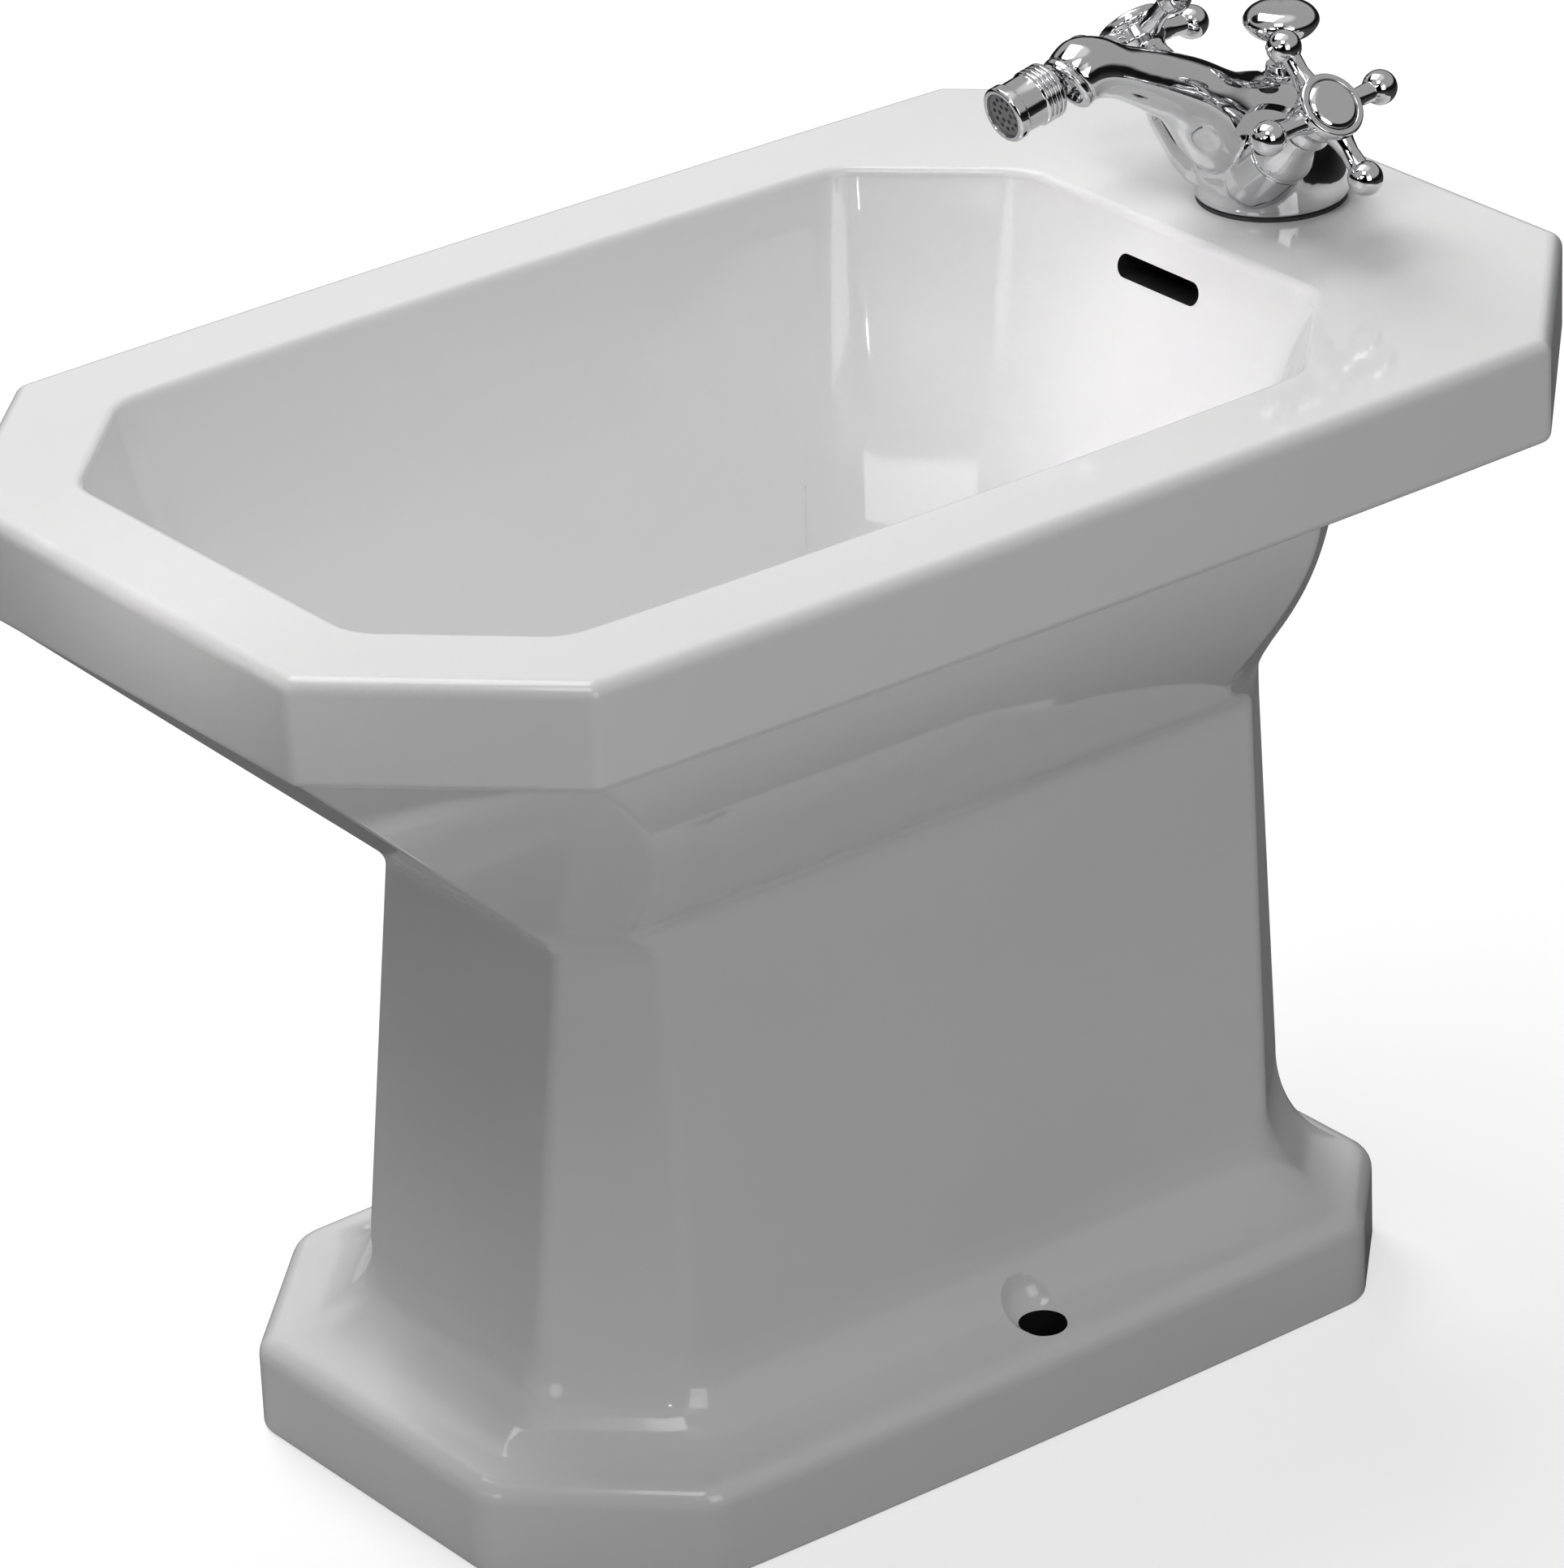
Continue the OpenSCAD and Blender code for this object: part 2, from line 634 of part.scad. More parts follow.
module spindle(side) color("goldenrod") on_valve(side) difference() {
    bore(spindle_d, valve_z0 + 8.5, spindle_top);
    bore(4, spindle_top - 9, spindle_top + 1);
}

// One arm of the cross, from the hub out along +Z to its ball end.
module cross_arm() {
    ball_r = knob_ball_d / 2;
    first = 36;
    revolve(concat(
        [[0, 8], [5.4, 8], [5, 11], [4.1, 14.5], [3.6, 18]],
        [for (a = [first:12:180]) [ball_r * sin(a), cross_r - ball_r * cos(a)]],
        [[0, cross_r + ball_r]]
    ));
}

module handle(side) color("silver") on_valve(side) difference() {
    rim = hub_d / 2;
    union() {
        revolve([
            [0, hub_back], [rim - 5, hub_back], [rim - 3.7, hub_back + 1], [rim - 3.9, hub_back + 3],
            [rim - 4.9, hub_back + 5.5], [rim - 4.4, hub_back + 8.5], [rim - 2.2, hub_back + 11],
            [rim - 2.2, flange_top - 5], [rim - 0.6, flange_top - 4.4], [rim, flange_top - 3.4],
            [rim, flange_top - 1], [rim - 0.7, flange_top], [0, flange_top]
        ]);
        for (k = [0:3]) translate([0, 0, cross_at]) rotate([0, 0, cross_phase + 90 * k])
            rotate([0, 90, 0]) cross_arm();
    }
    bore(spindle_d + 2 * seat_gap, hub_back - 1, spindle_top);
    bore(4.5, spindle_top - 1, cross_at + 1);
    bore(9, cross_at, flange_top + 1);
    bore(index_d + 2 * seat_gap, index_z, flange_top + 1);
}

module handle_screw(side) color("goldenrod") on_valve(side) {
    bore(4, spindle_top - 8.5, cross_at + 1);
    bore(8, cross_at, index_z - 0.5);
}

module index(side) color("silver") on_valve(side) {
    r = index_d / 2;
    revolve([[0, index_z], [r, index_z], [r, flange_top], [r - 1.5, flange_top + 1], [r - 5, flange_top + 1.7],
        [0, flange_top + 2]]);
}

// ---- nozzle, along the axis out of the ball ----
ball_gap = 0.3;
stem_r = ball_d / 2 - 3.8;
barrel_z = 17;
barrel_r = nozzle_d / 2;

// Outline points on the sphere of radius r between two heights, front first.
function on_sphere(r, from, to) = [
    for (i = [0:4]) let (z = mix(from, to, i / 4)) [sqrt(r * r - z * z), z]
];

module ball_seat() color("dimgray") on_ball(socket_pitch)
    revolve(concat(
        [[socket_r - run_fit, seat_back], [socket_r - run_fit, seat_front]],
        on_sphere(ball_d / 2 + ball_gap, seat_front, seat_back)
    ));

module socket_collar() color("silver") on_ball(socket_pitch) {
    lip = 4.6;
    revolve(concat(
        on_sphere(ball_d / 2 + ball_gap, lip, 3.6),
        [[socket_r - 0.1, 3.6], [socket_r - 0.1, head_end], [head_r - 0.3, head_end],
         [head_r, head_end + 0.5], [head_r, head_end + 2.2], [head_r - 0.8, head_end + 3],
         [socket_r, head_end + 3]]
    ));
}

module swivel_ball() color("silver") on_ball(nozzle_pitch) difference() {
    union() {
        sphere(d = ball_d);
        bore(2 * stem_r, 0, 14);
    }
    bore(5, -ball_d / 2 - 1, 15);
}

module nozzle_shell() color("silver") on_ball(nozzle_pitch) {
    cavity_r = barrel_r - 2.2;
    revolve([
        [stem_r + 0.1, 11.5], [stem_r + 1.6, 11.5], [stem_r + 2, 13], [barrel_r - 0.6, barrel_z - 0.8],
        [barrel_r, barrel_z], [barrel_r, barrel_z + 2.2], [barrel_r - 0.8, barrel_z + 2.8],
        [barrel_r - 0.8, nozzle_reach - 5], [barrel_r, nozzle_reach - 4.4], [barrel_r, nozzle_reach - 0.8],
        [barrel_r - 0.8, nozzle_reach], [cavity_r, nozzle_reach], [cavity_r, 20], [stem_r + 0.1, 17]
    ]);
}

module spray_insert() color("dimgray") on_ball(nozzle_pitch) {
    face = nozzle_reach - 4.5;
    r = barrel_r - 2.2 - 0.1;
    tube(r, r - 1.5, 20, face);
    difference() {
        bore(2 * r, face, nozzle_reach - 1.5);
        for (k = [0:11]) rotate([0, 0, 30 * k]) translate([0.7 * r, 0, 0])
            cylinder(d = 1.8, h = nozzle_reach, $fn = 16);
        for (k = [0:5]) rotate([0, 0, 60 * k]) translate([0.36 * r, 0, 0])
            cylinder(d = 1.8, h = nozzle_reach, $fn = 16);
    }
}

// ---- pull knob and lift rod ----
knob_foot = gland_z + 11;
knob_grip = 10;                // depth of the rod in the knob
rod_over = 28;                 // the rod's foot above the pivot ball
rod_hang = 50;                 // the rod's straight length below its bends
rod_foot_z = pivot_z + rod_over;

module rod_gland() color("silver") at_rod(rim_h)
    revolve([
        [rod_d / 2 + run_fit, gland_z - gland_spigot_h], [gland_spigot_r - 0.1, gland_z - gland_spigot_h],
        [gland_spigot_r - 0.1, gland_z], [9, gland_z], [9, gland_z + 3], [8, gland_z + 4],
        [6.4, gland_z + 5], [6, gland_z + 9], [rod_d / 2 + run_fit, gland_z + 9]
    ]);

module lift_knob() color("silver") at_rod(rim_h + knob_foot) {
    cap_r = knob_d / 2;
    difference() {
        revolve(concat(
            [[0, 0], [4.2, 0], [4.5, 0.6], [4.5, 2], [5.8, 2.8], [6.2, 4], [5.8, 5.2], [4.5, 6], [4.3, 8]],
            smooth([[5.5, 8.3], [cap_r - 3.5, 10], [cap_r, 14.5], [cap_r - 1.4, 18.5], [cap_r - 6, 21.2],
                [0, 22]], 4)
        ));
        bore(rod_d, -1, knob_grip);
    }
}

// The rod is cranked forward below the deck, so that its foot hangs close behind the body.
module lift_rod() color("silver") {
    low_z = rod_foot_z + rod_hang;
    high_z = low_z + rod_y - hang_y;
    at_rod() bore(rod_d, high_z, rim_h + knob_foot + knob_grip);
    at_rod(high_z) sphere(d = rod_d + 0.3);
    translate([0, hang_y, low_z]) {
        rotate([-45, 0, 0]) bore(rod_d, 0, (rod_y - hang_y) * sqrt(2));
        sphere(d = rod_d + 0.3);
        bore(rod_d, rod_foot_z - low_z, 0);
    }
}

module clevis_strap() color("silver") {
    half_w = 6;
    below = 9;
    above = 26;
    eye_z = pivot_z - rear_arm * rest_slope;
    block_z = rod_foot_z + 4;
    block_h = 16;
    difference() {
        union() {
            translate([-half_w, strap_y - strap_t / 2, eye_z - below])
                cube([2 * half_w, strap_t, rod_foot_z + above - eye_z + below]);
            translate([-half_w, hang_y - 6, block_z])
                cube([2 * half_w, strap_y - hang_y + 6, block_h]);
        }
        translate([0, hang_y, 0]) bore(rod_d, block_z - 1, block_z + block_h + 1);
        // the row of holes for the pivot rod, which rests in the lowest
        for (k = [0:2]) translate([0, strap_y - 3, eye_z + 13 * k]) rotate([-90, 0, 0])
            cylinder(d = pivot_d + 1.5, h = 6);
        translate([0, hang_y, block_z + block_h / 2]) rotate([0, -90, 0]) cylinder(d = 4, h = 20);
    }
}

module clevis_screw() color("silver") translate([0, hang_y, rod_foot_z + 12]) rotate([0, -90, 0]) {
    bore(4, rod_d / 2, 14);
    bore(7, 6, 14);
    bore(10, 7.5, 11);
}

// ---- waste ----
tube_r = tube_d / 2;
tube_in = tube_r - 2;
tube_below = 22;               // the tube's length below the bowl's boss
seal_t = 3;
nut_h = 10;
nut_grip = 9;                  // the nut's width over the waste's hole
waist_l = 26;                  // from the tube's end down to the pipe's shoulder
socket_l = 12;
tube_foot = boss_z - tube_below;
body_top_z = boss_z - seal_t - nut_h;
ledge_z = seat_z - 1;
pipe_top = tube_foot - waist_l;
pipe_foot = pipe_top - socket_l;

module waste_flange() color("silver") at_waste() difference() {
    flange_r = flange_d / 2;
    flange_z = seat_z + 1;
    revolve([
        [tube_r, tube_foot], [tube_r, flange_z], [flange_r, flange_z], [flange_r, flange_z + 1.4],
        [flange_r - 1, flange_z + 2.2], [flange_r - 4.5, flange_z + 2.4], [tube_in, ledge_z],
        [tube_in - 3, ledge_z], [tube_in - 3, ledge_z - 2], [tube_in, ledge_z - 4], [tube_in, tube_foot]
    ]);
    // the ports that take the overflow's water
    for (a = [0:45:135]) rotate([0, 0, a]) translate([0, 0, duct_z + duct_t / 2]) rotate([90, 0, 0])
        cylinder(d = duct_t - 2, h = 2 * tube_r + 4, center = true);
}

module flange_seal() color("dimgray") at_waste()
    tube(flange_d / 2 - 0.5, waste_hole_d / 2 + 0.5, seat_z, seat_z + 1);

module back_seal() color("dimgray") at_waste()
    tube(waste_hole_d / 2 + 7, tube_r + seat_gap, boss_z - seal_t, boss_z);

module back_nut() color("goldenrod") at_waste() difference() {
    hexagon(waste_hole_d + nut_grip, body_top_z, boss_z - seal_t);
    bore(tube_d + 2 * seat_gap, body_top_z - 1, boss_z);
}

port_r = pivot_ball_d / 2 + 1.4;
port_wall = 2.6;
port_end = front_arm + 3;      // along +Y from the waste's axis
port_step = front_arm - pivot_ball_d / 2;

module waste_body() color("silver") at_waste() difference() {
    wide = tube_r + 3;
    union() {
        revolve([
            [outlet_d / 2 + 2.5, pipe_foot], [outlet_d / 2 + 2.5, pipe_top],
            [tube_r + 0.5, pipe_top + 7], [tube_r + 0.5, tube_foot - 5], [wide, tube_foot - 2],
            [wide, body_top_z], [tube_r + seat_gap, body_top_z], [tube_r + seat_gap, tube_foot],
            [tube_in, tube_foot], [tube_in, pipe_top + 8], [outlet_d / 2 - 1.5, pipe_top],
            [outlet_d / 2 - 0.25, pipe_top], [outlet_d / 2 - 0.25, pipe_foot]
        ]);
        translate([0, tube_in + 0.5, pivot_z]) rotate([-90, 0, 0])
            cylinder(r = port_r + port_wall, h = port_end - tube_in - 0.5);
    }
    translate([0, 0, pivot_z]) rotate([-90, 0, 0]) {
        bore(pivot_ball_d + 0.6, 5, port_end + 1);
        bore(2 * port_r, port_step, port_end + 1);
    }
    bore(tube_d + 2 * seat_gap, tube_foot, body_top_z + 1);
}

module tail_pipe() color("silver") at_waste() {
    r = outlet_d / 2;
    revolve([
        [r - 2, pipe_foot - tail_l], [r, pipe_foot - tail_l], [r, pipe_foot], [r - 0.5, pipe_foot],
        [r - 0.5, pipe_top], [r - 2, pipe_top]
    ]);
}

// The ring that seals the pivot ball, with a round seat on the ball's side.
module pivot_seal() color("dimgray") translate([0, waste_y, pivot_z]) rotate([-90, 0, 0])
    translate([0, 0, front_arm]) {
        r = pivot_ball_d / 2;
        hole_r = pivot_d / 2 + 1.1;
        revolve(concat(
            [[hole_r, -r], [port_r - 0.1, -r], [port_r - 0.1, -1]],
            [for (i = [0:4]) let (z = mix(-1, -sqrt(pow(r + ball_gap, 2) - hole_r * hole_r), i / 4))
                [sqrt(pow(r + ball_gap, 2) - z * z), z]]
        ));
    }

// The nut that holds the pivot ball in its port.
module pivot_nut() color("dimgray") translate([0, waste_y, pivot_z]) rotate([-90, 0, 0]) difference() {
    cap_z = front_arm + 3;
    hexagon(2 * (port_r + port_wall) + 4, cap_z - 9, cap_z + 4);
    bore(2 * (port_r + port_wall + 0.1), cap_z - 10, cap_z);
    bore(pivot_d + 2.6, cap_z - 1, cap_z + 5);
}

// ---- linkage and plug ----
eye_t = 4;

module pivot_rod() color("silver") on_pivot() {
    bore(pivot_d, -front_arm - 3, rear_arm + 12);
    sphere(d = pivot_ball_d);
}

// A sprung clip whose two legs hold the rod on either side of the strap.
module strap_clip() color("silver") on_pivot() translate([0, 0, rear_arm]) difference() {
    leg_t = 0.8;
    gap = 3;
    union() {
        for (s = [-1, 1]) translate([-4, -6, s * (gap + leg_t / 2) - leg_t / 2]) cube([8, 19, leg_t]);
        translate([-4, 12.2, -gap - leg_t]) cube([8, leg_t, 2 * (gap + leg_t)]);
    }
    bore(pivot_d, -10, 10);
}

plug_r = tube_in - 0.5;
plug_z = ledge_z + 0.3 + plug_lift;      // underside of the seal as it rests, open

module plug() color("silver") at_waste() {
    core_r = plug_r - 3.1;
    seal_h = 2.8;
    eye_z = pivot_z + front_arm * rest_slope;
    revolve([
        [0, plug_z - 2], [core_r - 0.8, plug_z - 2], [core_r, plug_z - 1.2], [core_r, plug_z + seal_h],
        [plug_r, plug_z + seal_h], [plug_r, plug_z + seal_h + 1.2], [plug_r - 2, plug_z + seal_h + 2.6],
        [plug_r - 8, plug_z + seal_h + 3.8], [0, plug_z + seal_h + 4.4]
    ]);
    // the crossed guides below the plug
    for (a = [0, 90]) rotate([0, 0, a]) translate([1.5 - core_r, -0.8, plug_z - 17])
        cube([2 * core_r - 3, 1.6, 16]);
    bore(6, eye_z + 6, plug_z - 1);
    // the eye that the pivot rod's tip holds
    difference() {
        translate([-7, -eye_t / 2, eye_z - 8]) cube([14, eye_t, 16]);
        translate([0, -5, eye_z]) rotate([-90, 0, 0]) cylinder(d = pivot_d + 1.5, h = 10);
    }
}

module plug_seal() color("dimgray") at_waste() translate([0, 0, plug_z + 1.4])
    rotate_extrude() translate([plug_r - 1.7, 0]) circle(r = 1.4, $fn = 24);

ceramic_body();
tap_body();
tap_gasket();
mounting_stud();
horseshoe_rubber();
horseshoe_plate();
stud_nut();
valve(-1);  // valve_hot
bonnet(-1);  // bonnet_hot
spindle(-1);  // spindle_hot
handle(-1);  // handle_hot
handle_screw(-1);  // handle_screw_hot
index(-1);  // index_hot
valve(1);  // valve_cold
bonnet(1);  // bonnet_cold
spindle(1);  // spindle_cold
handle(1);  // handle_cold
handle_screw(1);  // handle_screw_cold
index(1);  // index_cold
ball_seat();
socket_collar();
swivel_ball();
nozzle_shell();
spray_insert();
rod_gland();
lift_knob();
lift_rod();
clevis_strap();
clevis_screw();
waste_flange();
flange_seal();
back_seal();
back_nut();
waste_body();
tail_pipe();
plug();
plug_seal();
pivot_rod();
pivot_seal();
pivot_nut();
strap_clip();
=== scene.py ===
"""Floor standing bidet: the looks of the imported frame.

The china, the tap's shown pieces and the waste's flange are built here, from outlines in millimetres and
in the frame's own place. The other CAD pieces stay and get their finishes.
"""
import math

import bmesh
import bpy
import numpy as np
from bpy.props import (
    FloatProperty, FloatVectorProperty, IntProperty, PointerProperty,
)
from mathutils import Matrix, Vector


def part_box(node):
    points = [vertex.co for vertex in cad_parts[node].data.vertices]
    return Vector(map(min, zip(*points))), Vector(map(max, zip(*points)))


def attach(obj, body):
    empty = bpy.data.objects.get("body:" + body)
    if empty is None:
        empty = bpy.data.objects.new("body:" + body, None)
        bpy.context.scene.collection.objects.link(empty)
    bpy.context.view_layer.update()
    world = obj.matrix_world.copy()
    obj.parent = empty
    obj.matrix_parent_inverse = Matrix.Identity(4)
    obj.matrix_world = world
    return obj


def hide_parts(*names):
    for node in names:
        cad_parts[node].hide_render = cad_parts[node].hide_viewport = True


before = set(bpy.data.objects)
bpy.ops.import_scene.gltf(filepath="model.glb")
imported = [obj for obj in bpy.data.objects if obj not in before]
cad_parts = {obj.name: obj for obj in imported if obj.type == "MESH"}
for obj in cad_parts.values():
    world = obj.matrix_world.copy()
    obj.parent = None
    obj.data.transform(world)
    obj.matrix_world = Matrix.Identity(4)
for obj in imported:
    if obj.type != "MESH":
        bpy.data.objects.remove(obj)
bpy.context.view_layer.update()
china_low, china_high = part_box("ceramic_body")

bl_info = {
    "name": "Floor standing bidet",
    "version": (1, 0, 0),
    "blender": (4, 5, 0),
    "location": "3D View > Sidebar > Bidet",
    "description": "Builds the glazed china, the chrome tap and the pop-up waste of a floor standing bidet",
    "category": "Add Mesh",
}

MM = 0.001
WHITE = (1, 1, 1, 1)
TURN_STEPS = 96
HORN_STEPS = 72


# ---- settings ----
class ChinaSettings(bpy.types.PropertyGroup):
    """Sizes and glaze of the china."""

    rim_height: FloatProperty(
        name="Rim height", description="Height of the rim above the floor", subtype="DISTANCE", unit="LENGTH",
        default=china_high.z)
    plate_length: FloatProperty(
        name="Plate length", description="Length of the rim plate, front to back", subtype="DISTANCE",
        unit="LENGTH", default=china_high.y - china_low.y)
    plate_width: FloatProperty(
        name="Plate width", description="Width of the rim plate at its corners", subtype="DISTANCE",
        unit="LENGTH", default=0.355)
    corner_steps: IntProperty(
        name="Corner steps", description="Faces round each cut corner's edge", default=8, min=2, max=24)
    glaze: FloatVectorProperty(
        name="Glaze", description="Colour of the glaze", subtype="COLOR", default=(0.84, 0.84, 0.84))
    biscuit: FloatVectorProperty(
        name="Biscuit", description="Colour of the unglazed clay inside and below", subtype="COLOR",
        default=(0.56, 0.54, 0.51))


class MetalSettings(bpy.types.PropertyGroup):
    """Sizes and colours of the metal and rubber."""

    chrome: FloatVectorProperty(
        name="Chrome", description="Colour of the chrome plating", subtype="COLOR",
        default=(0.66, 0.66, 0.67))
    brass: FloatVectorProperty(
        name="Brass", description="Colour of the plain brass", subtype="COLOR", default=(0.72, 0.52, 0.24))
    rubber: FloatVectorProperty(
        name="Rubber", description="Colour of the rubber seals", subtype="COLOR", default=(0.02, 0.02, 0.021))
    edge_softness: FloatProperty(
        name="Edge softness", description="Share of their full rounding that the turned pieces' edges get",
        subtype="FACTOR", default=1.0, min=0.0, max=1.0)
    grooves: IntProperty(
        name="Grooves", description="Grooves round the nozzle's barrel by its ball", default=3, min=0, max=6)


class StageSettings(bpy.types.PropertyGroup):
    """Floor, lamps and camera."""

    floor: FloatVectorProperty(
        name="Floor", description="Colour of the studio floor", subtype="COLOR", default=(0.5, 0.5, 0.5))
    key_power: FloatProperty(
        name="Key power", description="Power of the overhead softbox", unit="POWER", default=32.0, min=0.0)
    sky: FloatProperty(
        name="Sky", description="Strength of the even light from all round", default=0.07, min=0.0)
    azimuth: FloatProperty(
        name="Azimuth", description="Turn of the camera round the object", subtype="ANGLE",
        default=math.radians(53.104))
    elevation: FloatProperty(
        name="Elevation", description="Height angle of the camera", subtype="ANGLE",
        default=math.radians(25.876))
    roll: FloatProperty(
        name="Roll", description="Roll of the camera", subtype="ANGLE", default=math.radians(-2.45))
    place: FloatVectorProperty(
        name="Camera", description="Place of the camera", subtype="TRANSLATION", unit="LENGTH",
        default=(2.24678, -1.69422, 1.59161))
    lens: FloatProperty(name="Lens", description="Focal length", unit="CAMERA", default=192.0, min=1.0)


# ---- shader groups ----
def new_group(name, inputs, output, kind="NodeSocketFloat"):
    """A shader node group with number inputs and one output; returns the tree and its two end nodes."""
    tree = bpy.data.node_groups.new(name, "ShaderNodeTree")
    for label, value in inputs.items():
        socket = tree.interface.new_socket(name=label, in_out="INPUT", socket_type="NodeSocketFloat")
        socket.default_value = value
    tree.interface.new_socket(name=output, in_out="OUTPUT", socket_type=kind)
    return tree, tree.nodes.new("NodeGroupInput"), tree.nodes.new("NodeGroupOutput")


def node(tree, kind, **values):
    """A node with its properties and unlinked inputs set by name."""
    made = tree.nodes.new(kind)
    for key, value in values.items():
        if key.startswith("in_"):
            made.inputs[int(key[3:]) if key[3:].isdigit() else key[3:]].default_value = value
        else:
            setattr(made, key, value)
    return made


def wire(tree, *links):
    """Links sockets; each link is (node, its output, node, its input)."""
    for source, output, target, socket in links:
        tree.links.new(source.outputs[output], target.inputs[socket])


def math_node(tree, operation, a, b=None, clamp=False):
    """The result of a math node; a and b are sockets or numbers."""
    made = node(tree, "ShaderNodeMath", operation=operation, use_clamp=clamp)
    for i, value in enumerate((a, b)):
        if isinstance(value, bpy.types.NodeSocket):
            tree.links.new(value, made.inputs[i])
        elif value is not None:
            made.inputs[i].default_value = value
    return made.outputs[0]


def mottle_group():
    """Slow, soft variation between two values, as in a glaze, plating or rubber."""
    tree, given, out = new_group("Mottle", {"Scale": 30.0, "Low": 0.0, "High": 1.0}, "Value")
    place = node(tree, "ShaderNodeTexCoord")
    noise = node(tree, "ShaderNodeTexNoise", in_Detail=4.0, in_Roughness=0.55)
    spread = node(tree, "ShaderNodeMapRange", in_1=0.32, in_2=0.68)
    wire(tree, (place, "Object", noise, "Vector"), (given, "Scale", noise, "Scale"),
         (noise, "Fac", spread, "Value"), (given, "Low", spread, "To Min"), (given, "High", spread, "To Max"),
         (spread, "Result", out, "Value"))
    return tree


def ripple_group():
    """A surface that isn't quite true: slow waves and fine grain, as a normal."""
    tree, given, out = new_group(
        "Ripple", {"Wave scale": 25.0, "Wave height": 0.0001, "Grain scale": 600.0, "Grain height": 0.00001},
        "Normal", "NodeSocketVector")
    place = node(tree, "ShaderNodeTexCoord")
    normal = None
    for name in ("Wave", "Grain"):
        noise = node(tree, "ShaderNodeTexNoise", in_Detail=2.0, in_Roughness=0.5)
        bump = node(tree, "ShaderNodeBump", in_Strength=1.0)
        wire(tree, (place, "Object", noise, "Vector"), (given, f"{name} scale", noise, "Scale"),
             (noise, "Fac", bump, "Height"), (given, f"{name} height", bump, "Distance"))
        if normal:
            wire(tree, (normal, "Normal", bump, "Normal"))
        normal = bump
    wire(tree, (normal, "Normal", out, "Normal"))
    return tree


def specks_group():
    """Sparse small marks, such as dried drops on plating and pinholes in biscuit clay, as a mask."""
    tree, given, out = new_group("Specks", {"Scale": 120.0, "Size": 0.12, "Amount": 0.3}, "Mask")
    place = node(tree, "ShaderNodeTexCoord")
    cells = node(tree, "ShaderNodeTexVoronoi", in_Randomness=1.0)
    spot = node(tree, "ShaderNodeMapRange", interpolation_type="SMOOTHSTEP", in_3=1.0, in_4=0.0)
    where = node(tree, "ShaderNodeTexNoise", in_Scale=18.0, in_Detail=2.0)
    rare = node(tree, "ShaderNodeMapRange", interpolation_type="SMOOTHSTEP", in_1=0.5, in_2=0.62)
    wire(tree, (place, "Object", cells, "Vector"), (given, "Scale", cells, "Scale"),
         (cells, "Distance", spot, "Value"), (given, "Size", spot, "From Max"),
         (place, "Object", where, "Vector"), (where, "Fac", rare, "Value"))
    both = math_node(tree, "MULTIPLY", spot.outputs["Result"], rare.outputs["Result"])
    tree.links.new(math_node(tree, "MULTIPLY", both, given.outputs["Amount"]), out.inputs["Mask"])
    return tree


def shared(name):
    """The shared shader group of that name, built once."""
    makers = {"Mottle": mottle_group, "Ripple": ripple_group, "Specks": specks_group}
    return bpy.data.node_groups.get(name) or makers[name]()


def placed(tree, name, **values):
    """A shared group placed in a material, with its own values."""
    made = tree.nodes.new("ShaderNodeGroup")
    made.node_tree = shared(name)
    for key, value in values.items():
        made.inputs[key.replace("_", " ").capitalize()].default_value = value
    return made


# ---- materials ----
def surface(name, colour, mottle, rough, waves, metallic=0.0, specks=None, **sockets):
    """A material whose colour, roughness and normal vary as the real surface's do.

    mottle is (scale, darkest share), rough is (scale, low, high), waves is the ripple's four values and
    specks is (scale, size, amount). The other values are the shader's sockets.
    """
    made = bpy.data.materials.get(name)
    if made:
        return made
    made = bpy.data.materials.new(name)
    made.use_nodes = True
    tree = made.node_tree
    shader = tree.nodes["Principled BSDF"]
    shader.inputs["Metallic"].default_value = metallic
    for key, value in sockets.items():
        shader.inputs[key.replace("_", " ")].default_value = value
    tone = placed(tree, "Mottle", scale=mottle[0], low=mottle[1], high=1.0)
    tint = node(tree, "ShaderNodeMix", data_type="RGBA", blend_type="MULTIPLY")
    tint.inputs[0].default_value = 1.0
    tint.inputs[6].default_value = (*colour, 1.0)
    gloss = placed(tree, "Mottle", scale=rough[0], low=rough[1], high=rough[2]).outputs["Value"]
    if specks:
        marks = placed(tree, "Specks", scale=specks[0], size=specks[1], amount=specks[2])
        gloss = math_node(tree, "ADD", gloss, marks.outputs["Mask"], clamp=True)
    tree.links.new(gloss, shader.inputs["Roughness"])
    ripple = placed(tree, "Ripple", wave_scale=waves[0], wave_height=waves[1], grain_scale=waves[2],
                    grain_height=waves[3])
    wire(tree, (tone, "Value", tint, 7), (tint, 2, shader, "Base Color"),
         (ripple, "Normal", shader, "Normal"))
    return made


def glazed_china():
    """White glaze, nearly even, with slow waves and hardly any grain."""
    colour = bpy.context.scene.bidet_china.glaze
    return surface("glazed_china", colour, mottle=(6.0, 0.975), rough=(14.0, 0.045, 0.085),
                   waves=(14.0, 0.00035, 420.0, 0.000004))


def biscuit_clay():
    """The unglazed clay inside the pedestal and under the foot, with pinholes."""
    colour = bpy.context.scene.bidet_china.biscuit
    return surface("biscuit_clay", colour, mottle=(40.0, 0.85), rough=(60.0, 0.75, 0.95),
                   waves=(60.0, 0.0002, 900.0, 0.00012), specks=(160.0, 0.15, 0.2))


def painted_shade_recess():
    """Painted shade: near black on the inside of the overflow and of the screw holes, where hardly any light
    comes.
    """
    return surface("painted_shade_recess", (0.012, 0.012, 0.012), mottle=(60.0, 0.7), rough=(40.0, 0.8, 0.95),
                   waves=(60.0, 0.0002, 900.0, 0.00012), Specular_IOR_Level=0.1)


